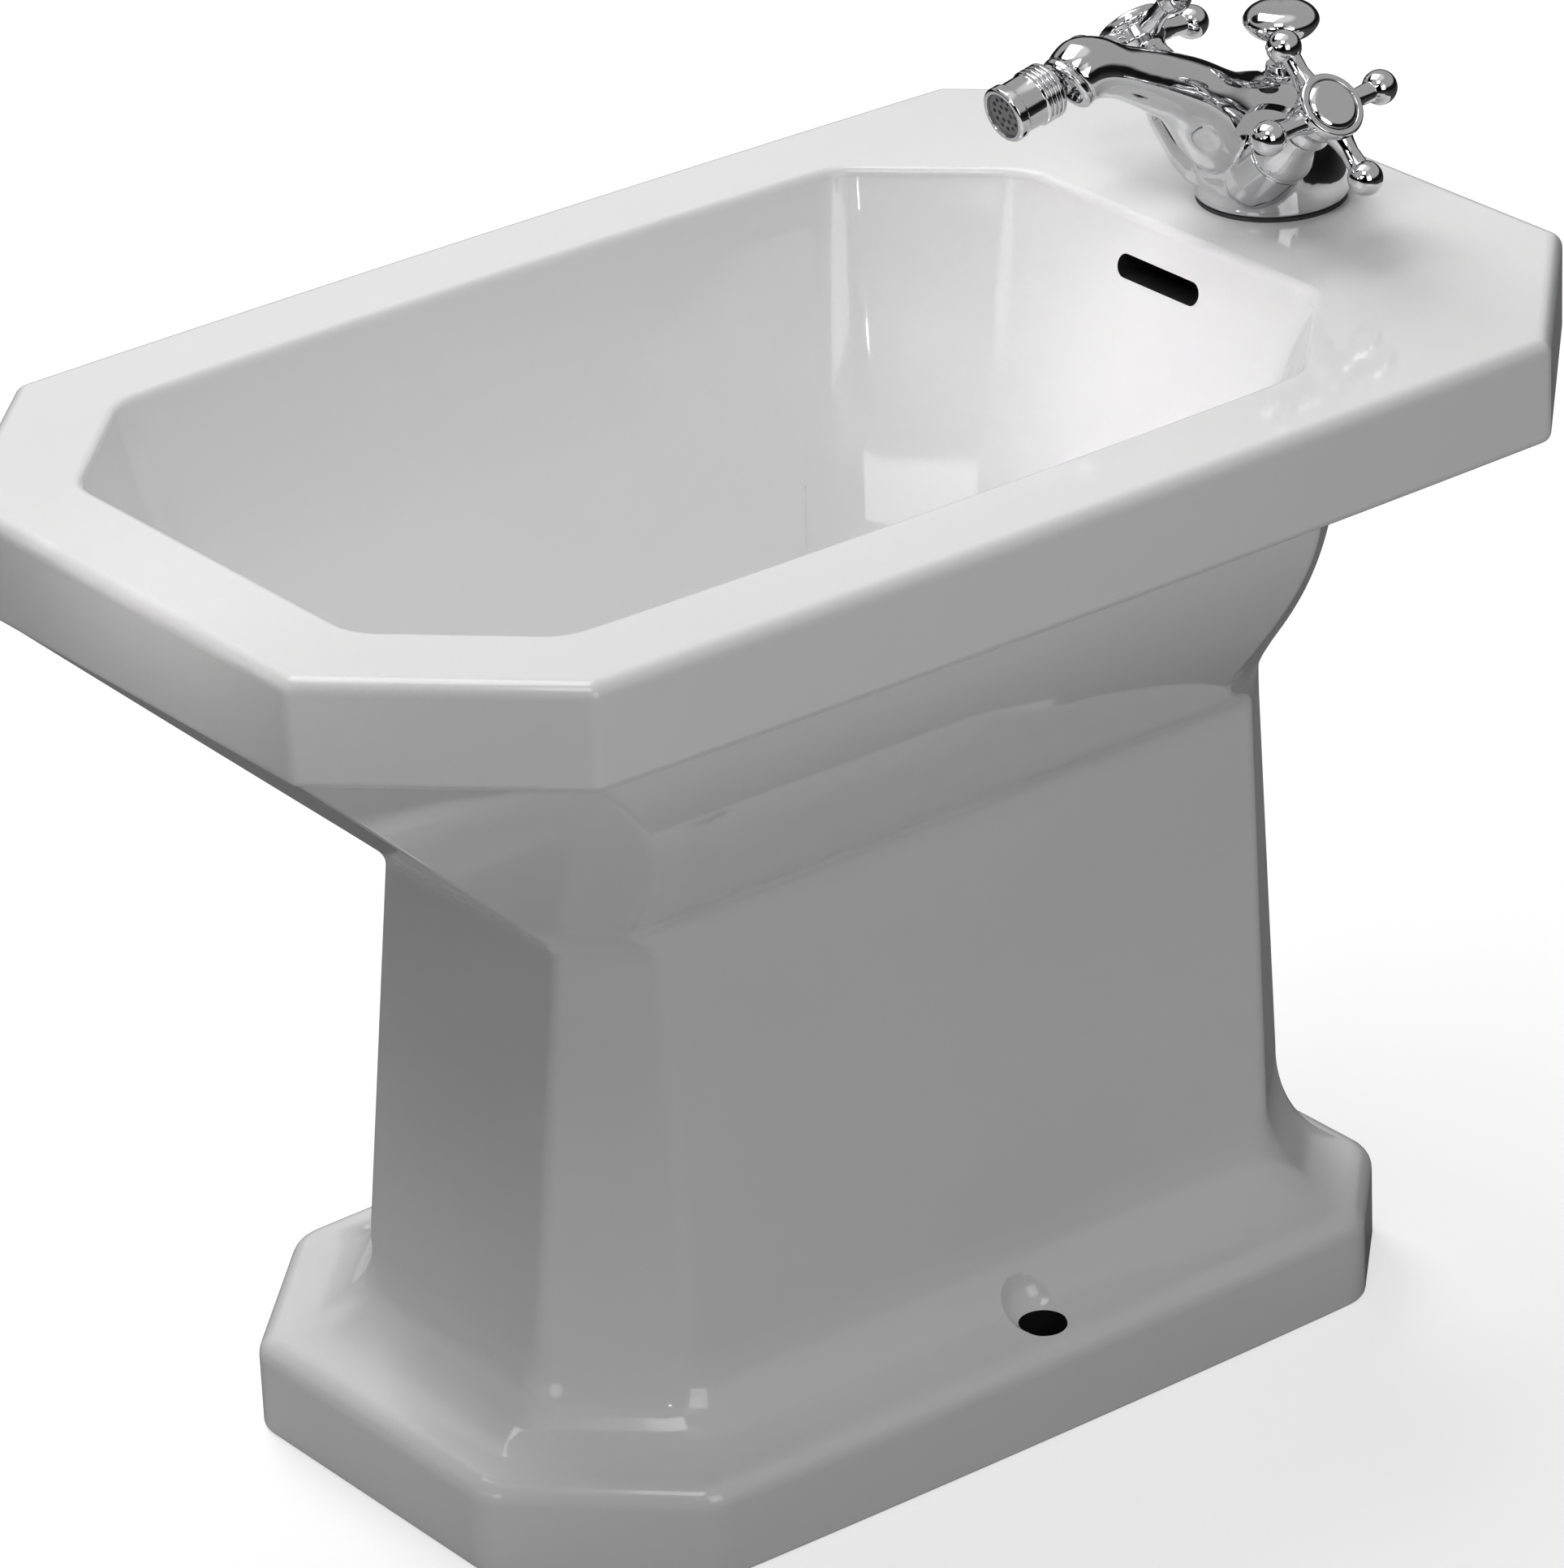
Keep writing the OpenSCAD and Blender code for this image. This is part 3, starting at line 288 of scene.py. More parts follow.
def chrome():
    """Bright plating with faint dried drops."""
    colour = bpy.context.scene.bidet_metal.chrome
    return surface("chrome_plate", colour, mottle=(50.0, 0.96), rough=(70.0, 0.03, 0.07),
                   waves=(45.0, 0.00008, 900.0, 0.000002), metallic=1.0, specks=(260.0, 0.1, 0.1))


def brass():
    colour = bpy.context.scene.bidet_metal.brass
    return surface("machined_brass", colour, mottle=(90.0, 0.8), rough=(120.0, 0.18, 0.34),
                   waves=(80.0, 0.00005, 1500.0, 0.00002), metallic=1.0)


def rubber():
    colour = bpy.context.scene.bidet_metal.rubber
    return surface("black_rubber", colour, mottle=(80.0, 0.7), rough=(90.0, 0.55, 0.75),
                   waves=(120.0, 0.00005, 1400.0, 0.00003))


def grey_plastic():
    return surface("grey_plastic", (0.16, 0.16, 0.165), mottle=(60.0, 0.85), rough=(90.0, 0.32, 0.45),
                   waves=(60.0, 0.00003, 1200.0, 0.00001))


# ---- mesh helpers ----
def put(name, data):
    """A new object of the scene with this mesh, lamp or camera."""
    made = bpy.data.objects.new(name, data)
    bpy.context.scene.collection.objects.link(made)
    return made


def paint(mesh, *materials):
    """Gives the mesh these materials in place of its own."""
    mesh.materials.clear()
    for material in materials:
        mesh.materials.append(material)


def new_piece(name, points, faces):
    """A piece from points in millimetres."""
    mesh = bpy.data.meshes.new(name)
    mesh.from_pydata([tuple(c * MM for c in p) for p in points], [], [tuple(f) for f in faces])
    mesh.validate()
    return put(name, mesh)


def tidy_mesh(piece, merge=1e-6):
    """Merges doubles and points every face outward."""
    work = bmesh.new()
    work.from_mesh(piece.data)
    bmesh.ops.remove_doubles(work, verts=work.verts, dist=merge)
    bmesh.ops.dissolve_degenerate(work, edges=work.edges, dist=merge)
    bmesh.ops.recalc_face_normals(work, faces=work.faces)
    work.to_mesh(piece.data)
    work.free()


def shade(piece, angle):
    """Smooth faces, with sharp edges over the angle in degrees."""
    piece.data.shade_smooth()
    piece.data.set_sharp_from_angle(angle=math.radians(angle))


def bake_modifiers(piece):
    """Turns the piece's live modifiers into its mesh."""
    graph = bpy.context.evaluated_depsgraph_get()
    mesh = bpy.data.meshes.new_from_object(piece.evaluated_get(graph))
    old = piece.data
    piece.modifiers.clear()
    piece.data = mesh
    mesh.name = piece.name
    bpy.data.meshes.remove(old)


def combine(piece, other, operation):
    """Cuts or joins another solid, which is then gone."""
    step = piece.modifiers.new(operation.lower(), "BOOLEAN")
    step.operation = operation
    step.solver = "EXACT"
    step.object = other
    bake_modifiers(piece)
    bpy.data.objects.remove(other)


def weigh_normals(piece):
    """Keeps flat faces flat in the highlights."""
    step = piece.modifiers.new("true_normals", "WEIGHTED_NORMAL")
    step.keep_sharp = True
    step.weight = 80


def cast(piece, grain, passes):
    """Melts joined solids into one casting with soft inside corners."""
    skin = piece.modifiers.new("skin", "REMESH")
    skin.mode = "VOXEL"
    skin.voxel_size = grain
    soft = piece.modifiers.new("soft", "SMOOTH")
    soft.factor = 0.5
    soft.iterations = passes
    bake_modifiers(piece)


def prism(name, outline, axis, start, end):
    """A solid whose flat outline, given in the two other axes in their order, is carried along an axis."""
    k, n = "xyz".index(axis), len(outline)
    points = [(*p[:k], at, *p[k:]) for at in (start, end) for p in outline]
    sides = [(i, (i + 1) % n, n + (i + 1) % n, n + i) for i in range(n)]
    piece = new_piece(name, points, [tuple(range(n - 1, -1, -1)), tuple(range(n, 2 * n)), *sides])
    tidy_mesh(piece)
    return piece


def round_bar(name, centre, radius, length, steps=64, ball=False):
    """A round cutter along Z from the centre of its lower end, or a ball."""
    work = bmesh.new()
    if ball:
        bmesh.ops.create_uvsphere(work, u_segments=steps, v_segments=steps // 2, radius=radius)
    else:
        bmesh.ops.create_cone(
            work, cap_ends=True, segments=steps, radius1=radius, radius2=radius, depth=length)
        bmesh.ops.translate(work, verts=work.verts, vec=(0, 0, length / 2))
    bmesh.ops.translate(work, verts=work.verts, vec=centre)
    bmesh.ops.scale(work, verts=work.verts, vec=(MM, MM, MM))
    mesh = bpy.data.meshes.new(name)
    work.to_mesh(mesh)
    work.free()
    return put(name, mesh)


def hand_over(piece, body, name):
    """Rides the piece on its body in place of a CAD node, which is hidden."""
    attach(piece, body)
    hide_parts(name)


# ---- the china's form, in millimetres ----
BOWL_DEPTH = 134
STEM_Z = 73
NECK_Z = 228
BAND_TOP = 38
BAND_EDGE = 9
FLOOR_FALL = 3
WALL = 12
SCREW_X, SCREW_Y, SCREW_HEAD_R = 117, 16, 9.25
SLOT_LENGTH, SLOT_HEIGHT = 47, 9
SIDE_STEPS = 14


def mix(a, b, t):
    """The value at the share t of the way from a to b."""
    return a * (1 - t) + b * t


def share(value, start, end):
    """How far the value lies on its way from start to end, held between 0 and 1."""
    return min(max((value - start) / (end - start), 0), 1)


def curve(a, p, b, t):
    """A point of the curve from a to b that bends toward the corner p."""
    return mix(mix(a, p, t), mix(p, b, t), t)


def arc(x, y, radius, start, end, steps):
    """Points of an arc in a plane, from one angle to another in degrees."""
    return [(x + radius * math.cos(a), y + radius * math.sin(a))
            for a in np.radians(np.linspace(start, end, steps + 1))]


def octagon(half, front, back, cut, cut_x, cut_y, radius, bow):
    """A plan: half width, front, back, front cut, back cut across and along, corner radius, sides' bow."""
    return np.array([half, front, back, cut, cut_x, cut_y, radius, bow], float)


def grow(plan, d):
    """The plan with every side moved out by d, its corners' radius at least 1."""
    k = d * (2 - math.sqrt(2))
    return plan + np.array([d, -d, d, k, k, k, max(d, 1 - plan[6]), 0])


def corner_arc(plan, k, steps):
    """The rounding of the plan's corner k."""
    half, front, back, cut, cut_x, cut_y, radius, _ = plan
    around = np.array([
        (half - cut, front), (half, front + cut), (half, back - cut_y), (half - cut_x, back),
        (cut_x - half, back), (-half, back - cut_y), (-half, front + cut), (cut - half, front)])
    p = around[k]
    leg = radius * math.tan(math.radians(22.5))
    last, following = around[k - 1] - p, around[(k + 1) % 8] - p
    a = p + leg * last / np.linalg.norm(last)
    b = p + leg * following / np.linalg.norm(following)
    return [curve(a, p, b, t) for t in np.linspace(0, 1, steps + 1)]


def bowed_side(plan, side):
    """The inner points of the plan's right side (1) or left side (-1)."""
    half, front, back, cut, _, cut_y, _, bow = plan
    reach, middle = (back - front - cut - cut_y) / 2, (front + cut + back - cut_y) / 2
    return [np.array((side * (half + bow * (1 - u * u)), middle + side * u * reach))
            for u in np.linspace(-1, 1, SIDE_STEPS + 2)[1:-1]]


def ring(plan, z, steps):
    """The plan's outline at height z."""
    path = []
    for k in range(8):
        path += corner_arc(plan, k, steps)
        if k in (1, 5):
            path += bowed_side(plan, 1 if k == 1 else -1)
    return [(p[0], p[1], z) for p in path]


def loft(name, rings):
    """A closed skin over a stack of rings of equal length."""
    n = len(rings[0])
    points = [p for r in rings for p in r]
    last = (len(rings) - 1) * n
    faces = [tuple(range(n)), tuple(range(last + n - 1, last - 1, -1))]
    for i in range(len(rings) - 1):
        for j in range(n):
            a, b = i * n + j, i * n + (j + 1) % n
            faces.append((a, a + n, b + n, b))
    piece = new_piece(name, points, faces)
    tidy_mesh(piece)
    return piece


class ChinaForm:
    """The china's plans and heights in millimetres, from the settings."""

    def __init__(self, settings):
        self.rim_h = settings.rim_height / MM
        self.half_l = h = settings.plate_length / MM / 2
        self.half_w = w = settings.plate_width / MM / 2
        self.steps = settings.corner_steps
        self.skirt_z = self.rim_h - 41
        self.floor_z = self.rim_h - BOWL_DEPTH
        self.deck_z = self.rim_h - 14
        self.body_back = self.half_l - 108.5
        self.bowl_back = self.half_l - 107.5
        self.tap_y = self.half_l - 55.5
        self.waste_y = 80
        self.duct_y = self.bowl_back + 5
        self.duct_in = self.duct_y - 24
        self.duct_z = self.floor_z - 18
        self.boss_z = self.floor_z - 26
        self.plate = octagon(w, -h, h, 75, 75, 75, 7, 2.5)
        self.body_top = octagon(w - 3.5, -h + 3.5, self.body_back, 75, 75, 75, 7, 2.5)
        self.neck = octagon(80, -152, self.body_back - 2, 27, 27, 27, 8, 0)
        self.stem = octagon(94, -170, 187, 40, 40, 40, 11, 0)
        self.foot = octagon(133, -212.5, 204, 61, 42, 42, 20, 1.5)
        self.bowl = octagon(w - 41.5, -h + 41.5, self.bowl_back, 52, 52, 52, 22, 2.5)

    def stalk_at(self, z):
        """Plan of the pedestal at height z."""
        return mix(self.stem, self.neck, share(z, STEM_Z, NECK_Z))

    def trunk_at(self, z):
        """Plan of the body and pedestal at height z."""
        side, front = share(z, self.skirt_z, NECK_Z + 13), share(z, self.skirt_z, NECK_Z)
        stalk = self.stalk_at(z)
        plan = mix(self.body_top, stalk, side ** 1.5)
        crease_x = mix(self.body_top[0] - self.body_top[4], stalk[0] - stalk[4], side ** 2.4)
        crease_y = mix(self.body_top[2] - self.body_top[5], stalk[2] - stalk[5], side ** 6)
        plan[1] = mix(self.body_top[1], stalk[1], front)
        plan[4], plan[5] = plan[0] - crease_x, plan[2] - crease_y
        return plan

    def trunk(self, z, soften=4.0):
        """The same plan with the joints between the curves softened, as the glaze leaves them."""
        span = min(soften, self.skirt_z - z, z - STEM_Z)
        return sum(self.trunk_at(z + span * u) for u in (-1, -0.5, 0, 0.5, 1)) / 5

    def unglazed(self, x, y, z):
        """True in the hollow of the pedestal and on the face that stands on the floor."""
        half, front, back, cut, cut_x, cut_y, _, _ = grow(self.stalk_at(z), 4 - WALL)
        ahead = abs(x) - half + cut - (y - front)
        behind = abs(x) - half + cut_x + (y - back) * cut_x / cut_y
        hollow = abs(x) < half and front < y < back and ahead < 0 and behind < 0 and z < self.floor_z - 9
        return hollow or z < 0.4

    def recess(self, x, y, z):
        """True inside the overflow's slot and passage and inside the two screw holes, whose faces get painted
        shade.
        """
        wall = self.bowl_at(math.asin(share(z, self.rim_h, self.floor_z)))[2]
        along, up = wall + 0.7 < y < self.bowl_back + 13.1, self.floor_z - 19 < z < self.deck_z
        body_back = y > self.bowl_back - 9 and z < self.skirt_z - 6
        passage = abs(x) < SLOT_LENGTH / 2 + 0.1 and along and up and not body_back
        screw = math.hypot(abs(x) - SCREW_X, y - SCREW_Y) < SCREW_HEAD_R + 0.05 and 0.4 < z < 45
        return passage or screw

    def bowl_at(self, a):
        """Plan of the bowl at the angle a of its wall's quarter ellipse."""
        turn, drop = 1 - math.cos(a), BOWL_DEPTH * math.sin(a)
        return self.bowl + np.array([
            -36 * turn - 0.25 * drop, 118 * turn, -30 * turn - 0.25 * drop, -14 * turn, -10 * turn,
            -10 * turn, 24 * math.sin(a), -2.5 * turn])

    def rings(self):
        """The skin's rings, from the pedestal's ceiling down inside, up outside and down the bowl."""
        quarter = np.linspace(0, math.pi / 2, 9)

        def lower_edge(plan, z, r, angles):
            """The rounded edge where a face that looks down ends at z."""
            return [(grow(plan, -r + r * math.sin(a)), z + r - r * math.cos(a)) for a in angles]

        def upper_edge(plan, z, r):
            """The rounded edge where a side ends at height z."""
            return [(grow(plan, -r + r * math.cos(a)), z - r + r * math.sin(a)) for a in quarter]

        neck, stem = grow(self.neck, -WALL), grow(self.stem, -WALL)
        stack = [(neck, self.floor_z - 13), (neck, NECK_Z), (stem, STEM_Z), (stem, 0)]
        # the foot's band, its upper edge and the concave flare
        stack += lower_edge(self.foot, 0, 1.5, quarter[::2]) + upper_edge(self.foot, BAND_TOP, BAND_EDGE)
        for a in np.linspace(math.pi / 2, 0, 19)[1:]:
            plan = mix(self.stem, grow(self.foot, -BAND_EDGE), 1 - math.cos(a))
            plan[6] += 18 * math.sin(2 * a)
            stack.append((plan, STEM_Z - (STEM_Z - BAND_TOP) * math.sin(a)))
        # the pedestal and the belly
        levels = [*np.linspace(STEM_Z, NECK_Z - 6, 9)[1:], *np.linspace(NECK_Z - 4, NECK_Z + 22, 14),
                  *np.linspace(NECK_Z + 25, self.skirt_z, 34)]
        stack += [(self.trunk(z), z) for z in levels]
        # the skirt, the plate's edge and the rim
        stack += lower_edge(self.plate, self.skirt_z, 4, quarter) + upper_edge(self.plate, self.rim_h, 6)
        stack += [(grow(self.bowl, 4 - 4 * math.sin(a)), self.rim_h - 4 + 4 * math.cos(a)) for a in quarter]
        # the bowl down to its floor and the fall to the waste
        stack += [(self.bowl_at(a), self.rim_h - BOWL_DEPTH * math.sin(a))
                  for a in np.radians(np.linspace(6, 90, 43))]
        sump_r = 29.5
        cut = sump_r * (2 - math.sqrt(2))
        sump = octagon(sump_r, self.waste_y - sump_r, self.waste_y + sump_r, cut, cut, cut, 12, 0)
        floor_plan = self.bowl_at(math.pi / 2)
        stack += [(mix(floor_plan, sump, t), self.floor_z - FLOOR_FALL * t) for t in (0.25, 0.5, 0.75, 1)]
        return [ring(plan, z, self.steps) for plan, z in stack]


def form():
    """The china's form with the present settings."""
    return ChinaForm(bpy.context.scene.bidet_china)


def hollow_deck(piece, f):
    """Cuts the hollow under the deck, behind the body."""
    across, front, back, cut = f.half_w - 13, f.body_back + 10, f.half_l - 13, 67
    hollow = prism("hollow", [
        (-across, front), (across, front), (across, back - cut), (across - cut, back), (cut - across, back),
        (-across, back - cut)], "z", f.skirt_z - 1, f.deck_z)
    combine(piece, hollow, "DIFFERENCE")


def add_duct(piece, f):
    """Adds the china round the overflow's passage and the boss round the waste."""
    top, skin_y, outer_y, half = f.floor_z - 8, f.body_back - 1.5, f.duct_y + 16, (SLOT_LENGTH + 16) / 2
    duct = prism("duct", [
        (f.waste_y, f.boss_z), (f.body_back - 2, f.boss_z), (f.body_back - 2, f.skirt_z - 46),
        (outer_y, f.skirt_z - 6), (outer_y, f.deck_z + 0.01), (skin_y, f.deck_z + 0.01),
        (skin_y, f.skirt_z - 17), (f.duct_in, f.skirt_z - 37), (f.duct_in, top), (f.waste_y, top)],
        "x", -half, half)
    combine(piece, duct, "UNION")
    combine(piece, round_bar("boss", (0, f.waste_y, f.boss_z), 39.5, top - f.boss_z), "UNION")


def cut_overflow(piece, f):
    """Cuts the overflow's passage down to the waste and its slot in the bowl's back wall."""
    width, half, inner, outer = 8, SLOT_LENGTH / 2, f.duct_in, f.duct_y
    passage = prism("passage", [
        (f.waste_y, f.duct_z), (inner + width, f.duct_z), (inner + width, f.skirt_z - 45),
        (outer + width, f.skirt_z - 5), (outer + width, f.deck_z), (outer, f.deck_z), (outer, f.skirt_z - 3),
        (inner, f.skirt_z - 43), (inner, f.duct_z + width), (f.waste_y, f.duct_z + width)], "x", -half, half)
    combine(piece, passage, "DIFFERENCE")
    end_r, middle = SLOT_HEIGHT / 2, f.rim_h - 19
    stadium = [*arc(half - end_r, middle, end_r, -90, 90, 16), *arc(end_r - half, middle, end_r, 90, 270, 16)]
    combine(piece, prism("slot", stadium, "y", f.duct_y + 2, f.duct_y - 28), "DIFFERENCE")


def cut_back(piece):
    """Cuts the arched opening in the pedestal's back."""
    half, round_r, spring_z = 38, 20, 206
    arch = [(-half, -1), (half, -1), *arc(half - round_r, spring_z, round_r, 0, 90, 12),
            *arc(round_r - half, spring_z, round_r, 90, 180, 12)]
    combine(piece, prism("opening", arch, "y", 217, 127), "DIFFERENCE")


def cut_holes(piece, f):
    """Cuts the holes for the waste, the tap and the two floor screws."""
    holes = [("waste_hole", (0, f.waste_y, f.duct_z - 20), 23, 60),
             ("waste_seat", (0, f.waste_y, f.floor_z - 6), 32.5, 20),
             ("tap_hole", (0, f.tap_y, f.deck_z - 20), 17.5, 60)]
    for name, centre, radius, length in holes:
        combine(piece, round_bar(name, centre, radius, length), "DIFFERENCE")
    for x in (-SCREW_X, SCREW_X):
        combine(piece, round_bar("screw_hole", (x, SCREW_Y, -1), 4.5, 38), "DIFFERENCE")
        combine(piece, round_bar("head_hole", (x, SCREW_Y, 8), SCREW_HEAD_R, 38), "DIFFERENCE")
        combine(piece, round_bar("scoop", (x, SCREW_Y, 53), 17, 0, ball=True), "DIFFERENCE")


class BIDET_OT_china(bpy.types.Operator):
    """Build the glazed china body with its bowl, holes and hollow pedestal"""

    bl_idname = "bidet.china"
    bl_label = "China body"

    def execute(self, context):
        f = form()
        piece = loft("china_body", f.rings())
        hollow_deck(piece, f)
        add_duct(piece, f)
        cut_overflow(piece, f)
        cut_back(piece)
        cut_holes(piece, f)
        tidy_mesh(piece, 2e-5)
        shade(piece, 32)
        weigh_normals(piece)
        paint(piece.data, glazed_china(), biscuit_clay(), painted_shade_recess())
        # faces in the overflow and the screw holes get the near-black painted shade, the others glaze or
        # biscuit
        for face in piece.data.polygons:
            place = [c / MM for c in face.center]
            face.material_index = 2 if f.recess(*place) else int(f.unglazed(*place))
        hand_over(piece, "bidet", "ceramic_body")
        return {"FINISHED"}


# ---- geometry node trees for what turns and repeats ----
def new_tree(name, inputs):
    """A geometry node tree that ends in Realize Instances and Set Material; returns it with both ends."""
    tree = bpy.data.node_groups.new(name, "GeometryNodeTree")
    tree.interface.new_socket(name="Geometry", in_out="INPUT", socket_type="NodeSocketGeometry")
    for label, kind in inputs:
        tree.interface.new_socket(name=label, in_out="INPUT", socket_type=kind)
    tree.interface.new_socket(name="Material", in_out="INPUT", socket_type="NodeSocketMaterial")
    tree.interface.new_socket(name="Geometry", in_out="OUTPUT", socket_type="NodeSocketGeometry")
    given = tree.nodes.new("NodeGroupInput")
    real = tree.nodes.new("GeometryNodeRealizeInstances")
    coat = tree.nodes.new("GeometryNodeSetMaterial")
    out = tree.nodes.new("NodeGroupOutput")
    wire(tree, (real, 0, coat, "Geometry"), (given, "Material", coat, "Material"), (coat, 0, out, 0))
    return tree, given, real


def turned_tree():
    """Turns an outline, given as a line of points (radius, 0, height), about Z."""
    tree, given, real = new_tree("Turned piece", [("Segments", "NodeSocketInt")])
    size = node(tree, "GeometryNodeAttributeDomainSize", component="MESH")
    grid = node(tree, "GeometryNodeMeshGrid")
    index = node(tree, "GeometryNodeInputIndex")
    outline = node(tree, "GeometryNodeSampleIndex", data_type="FLOAT_VECTOR", domain="POINT")
    where = node(tree, "GeometryNodeInputPosition")
    parts = node(tree, "ShaderNodeSeparateXYZ")
    place = node(tree, "ShaderNodeCombineXYZ")
    move = node(tree, "GeometryNodeSetPosition")
    merge = node(tree, "GeometryNodeMergeByDistance", in_Distance=1e-6)
    link = tree.links.new
    count, turns = size.outputs["Point Count"], given.outputs["Segments"]
    link(math_node(tree, "ADD", turns, 1.0), grid.inputs["Vertices X"])
    link(count, grid.inputs["Vertices Y"])
    step = math_node(tree, "MODULO", index.outputs[0], count)
    middle = math_node(tree, "ADD", index.outputs[0], 0.5)
    spin = math_node(tree, "FLOOR", math_node(tree, "DIVIDE", middle, count))
    angle = math_node(tree, "MULTIPLY", math_node(tree, "DIVIDE", spin, turns), 2 * math.pi)
    link(step, outline.inputs["Index"])
    for axis, turn in (("X", "COSINE"), ("Y", "SINE")):
        across = math_node(tree, "MULTIPLY", parts.outputs["X"], math_node(tree, turn, angle))
        link(across, place.inputs[axis])
    wire(tree, (given, "Geometry", size, "Geometry"), (given, "Geometry", outline, "Geometry"),
         (where, 0, outline, "Value"), (outline, "Value", parts, 0), (parts, "Z", place, "Z"),
         (grid, "Mesh", move, "Geometry"), (place, 0, move, "Position"),
         (move, "Geometry", merge, "Geometry"), (merge, "Geometry", real, "Geometry"))
    return tree


def copies_tree():
    """Sets copies of a shape evenly round Z, from a first angle."""
    tree, given, real = new_tree(
        "Copies round an axis", [("Count", "NodeSocketInt"), ("First", "NodeSocketFloat")])
    points = node(tree, "GeometryNodePoints")
    index = node(tree, "GeometryNodeInputIndex")
    turn = node(tree, "ShaderNodeCombineXYZ")
    instance = node(tree, "GeometryNodeInstanceOnPoints")
    part = math_node(tree, "DIVIDE", index.outputs[0], given.outputs["Count"])
    angle = math_node(tree, "ADD", math_node(tree, "MULTIPLY", part, 2 * math.pi), given.outputs["First"])
    tree.links.new(angle, turn.inputs["Z"])
    wire(tree, (given, "Count", points, "Count"), (points, 0, instance, "Points"),
         (given, "Geometry", instance, "Instance"), (turn, 0, instance, "Rotation"),
         (instance, "Instances", real, "Geometry"))
    return tree


def grow_by(piece, name, material, **values):
    """Runs a geometry node tree on the piece, its inputs set by name, and keeps the resulting mesh."""
    makers = {"Turned piece": turned_tree, "Copies round an axis": copies_tree}
    tree = bpy.data.node_groups.get(name) or makers[name]()
    step = piece.modifiers.new(name, "NODES")
    step.node_group = tree
    sockets = {s.name: s.identifier for s in tree.interface.items_tree if s.in_out == "INPUT"}
    for key, value in values.items():
        step[sockets[key.capitalize()]] = value
    step[sockets["Material"]] = material
    bake_modifiers(piece)


def eased(outline, radius, closed):
    """The outline with each of its corners off the axis rounded."""
    n, points = len(outline), [np.array(p, float) for p in outline]
    made = []
    for i, p in enumerate(points):
        if not closed and i in (0, n - 1) or p[0] < 1e-6:
            made.append(p)
            continue
        last, following = points[i - 1] - p, points[(i + 1) % n] - p
        far, near = np.linalg.norm(last), np.linalg.norm(following)
        bend = math.acos(np.clip(np.dot(last, following) / far / near, -1, 1))
        if math.degrees(bend) > 162:
            made.append(p)
            continue
        leg = min(radius, 0.42 * far, 0.42 * near)
        a, b = p + last / far * leg, p + following / near * leg
        made += [curve(a, p, b, t) for t in (0, 0.25, 0.5, 0.75, 1)]
    return made


def turned(name, outline, place, soften, segments=TURN_STEPS):
    """A chrome piece turned about Z from its outline of (radius, height) in millimetres, in its place."""
    closed = not (outline[0][0] < 1e-6 and outline[-1][0] < 1e-6)
    line = eased(outline, soften * bpy.context.scene.bidet_metal.edge_softness, closed)
    if closed:
        line.append(line[0])
    mesh = bpy.data.meshes.new(name)
    mesh.from_pydata([(r * MM, 0, z * MM) for r, z in line], [(i, i + 1) for i in range(len(line) - 1)], [])
    piece = put(name, mesh)
    grow_by(piece, "Turned piece", chrome(), segments=segments)
    piece.data.transform(place)
    tidy_mesh(piece)
    shade(piece, 40)
    return piece


def joined(name, *pieces):
    """One piece from several, in the first one's place."""
    with bpy.context.temp_override(active_object=pieces[0], selected_editable_objects=list(pieces)):
        bpy.ops.object.join()
    pieces[0].name = name
    pieces[0].data.name = name
    return pieces[0]


# ---- places on the tap ----
TAP_FOOT_R = 29.5
SPOUT_REACH = 92
SPOUT_RISE = 75
SOCKET_PITCH = 30
NOZZLE_PITCH = 12


def moved(y, z):
    """A shift along Y and Z in millimetres."""
    return Matrix.Translation((0, y * MM, z * MM))


def spun(degrees, axis):
    return Matrix.Rotation(math.radians(degrees), 4, axis)


def at_tap():
    """The tap hole's axis, from the rim's top."""
    f = form()
    return moved(f.tap_y, f.rim_h)


def at_rod():
    """The lift rod's axis, from the rim's top."""
    return at_tap() @ moved(6, 0)


def at_waste():
    """The waste hole's axis, from the floor."""
    return moved(form().waste_y, 0)


def on_valve(side):
    """The axis of the left valve (-1) or the right one (1)."""
    return at_tap() @ moved(-20, 3.5) @ spun(47 * side, "Y")


def on_ball(pitch):
    """The socket ball's centre, with Z out of the nozzle, so many degrees below level."""
    return at_tap() @ moved(-SPOUT_REACH, SPOUT_RISE) @ spun(90 + pitch, "X")


def smooth_line(points, n):
    """Points of a smooth curve through the stations, n to each span."""
    p = [np.array(q, float) for q in points]
    made = []
    for i in range(len(p) - 1):
        a, b, c, d = p[max(i - 1, 0)], p[i], p[i + 1], p[min(i + 2, len(p) - 1)]
        for t in np.arange(n) / n:
            made.append((2 * b + (c - a) * t + (2 * a - 5 * b + 4 * c - d) * t * t
                         + (3 * b - a - 3 * c + d) * t ** 3) / 2)
    return [*made, p[-1]]


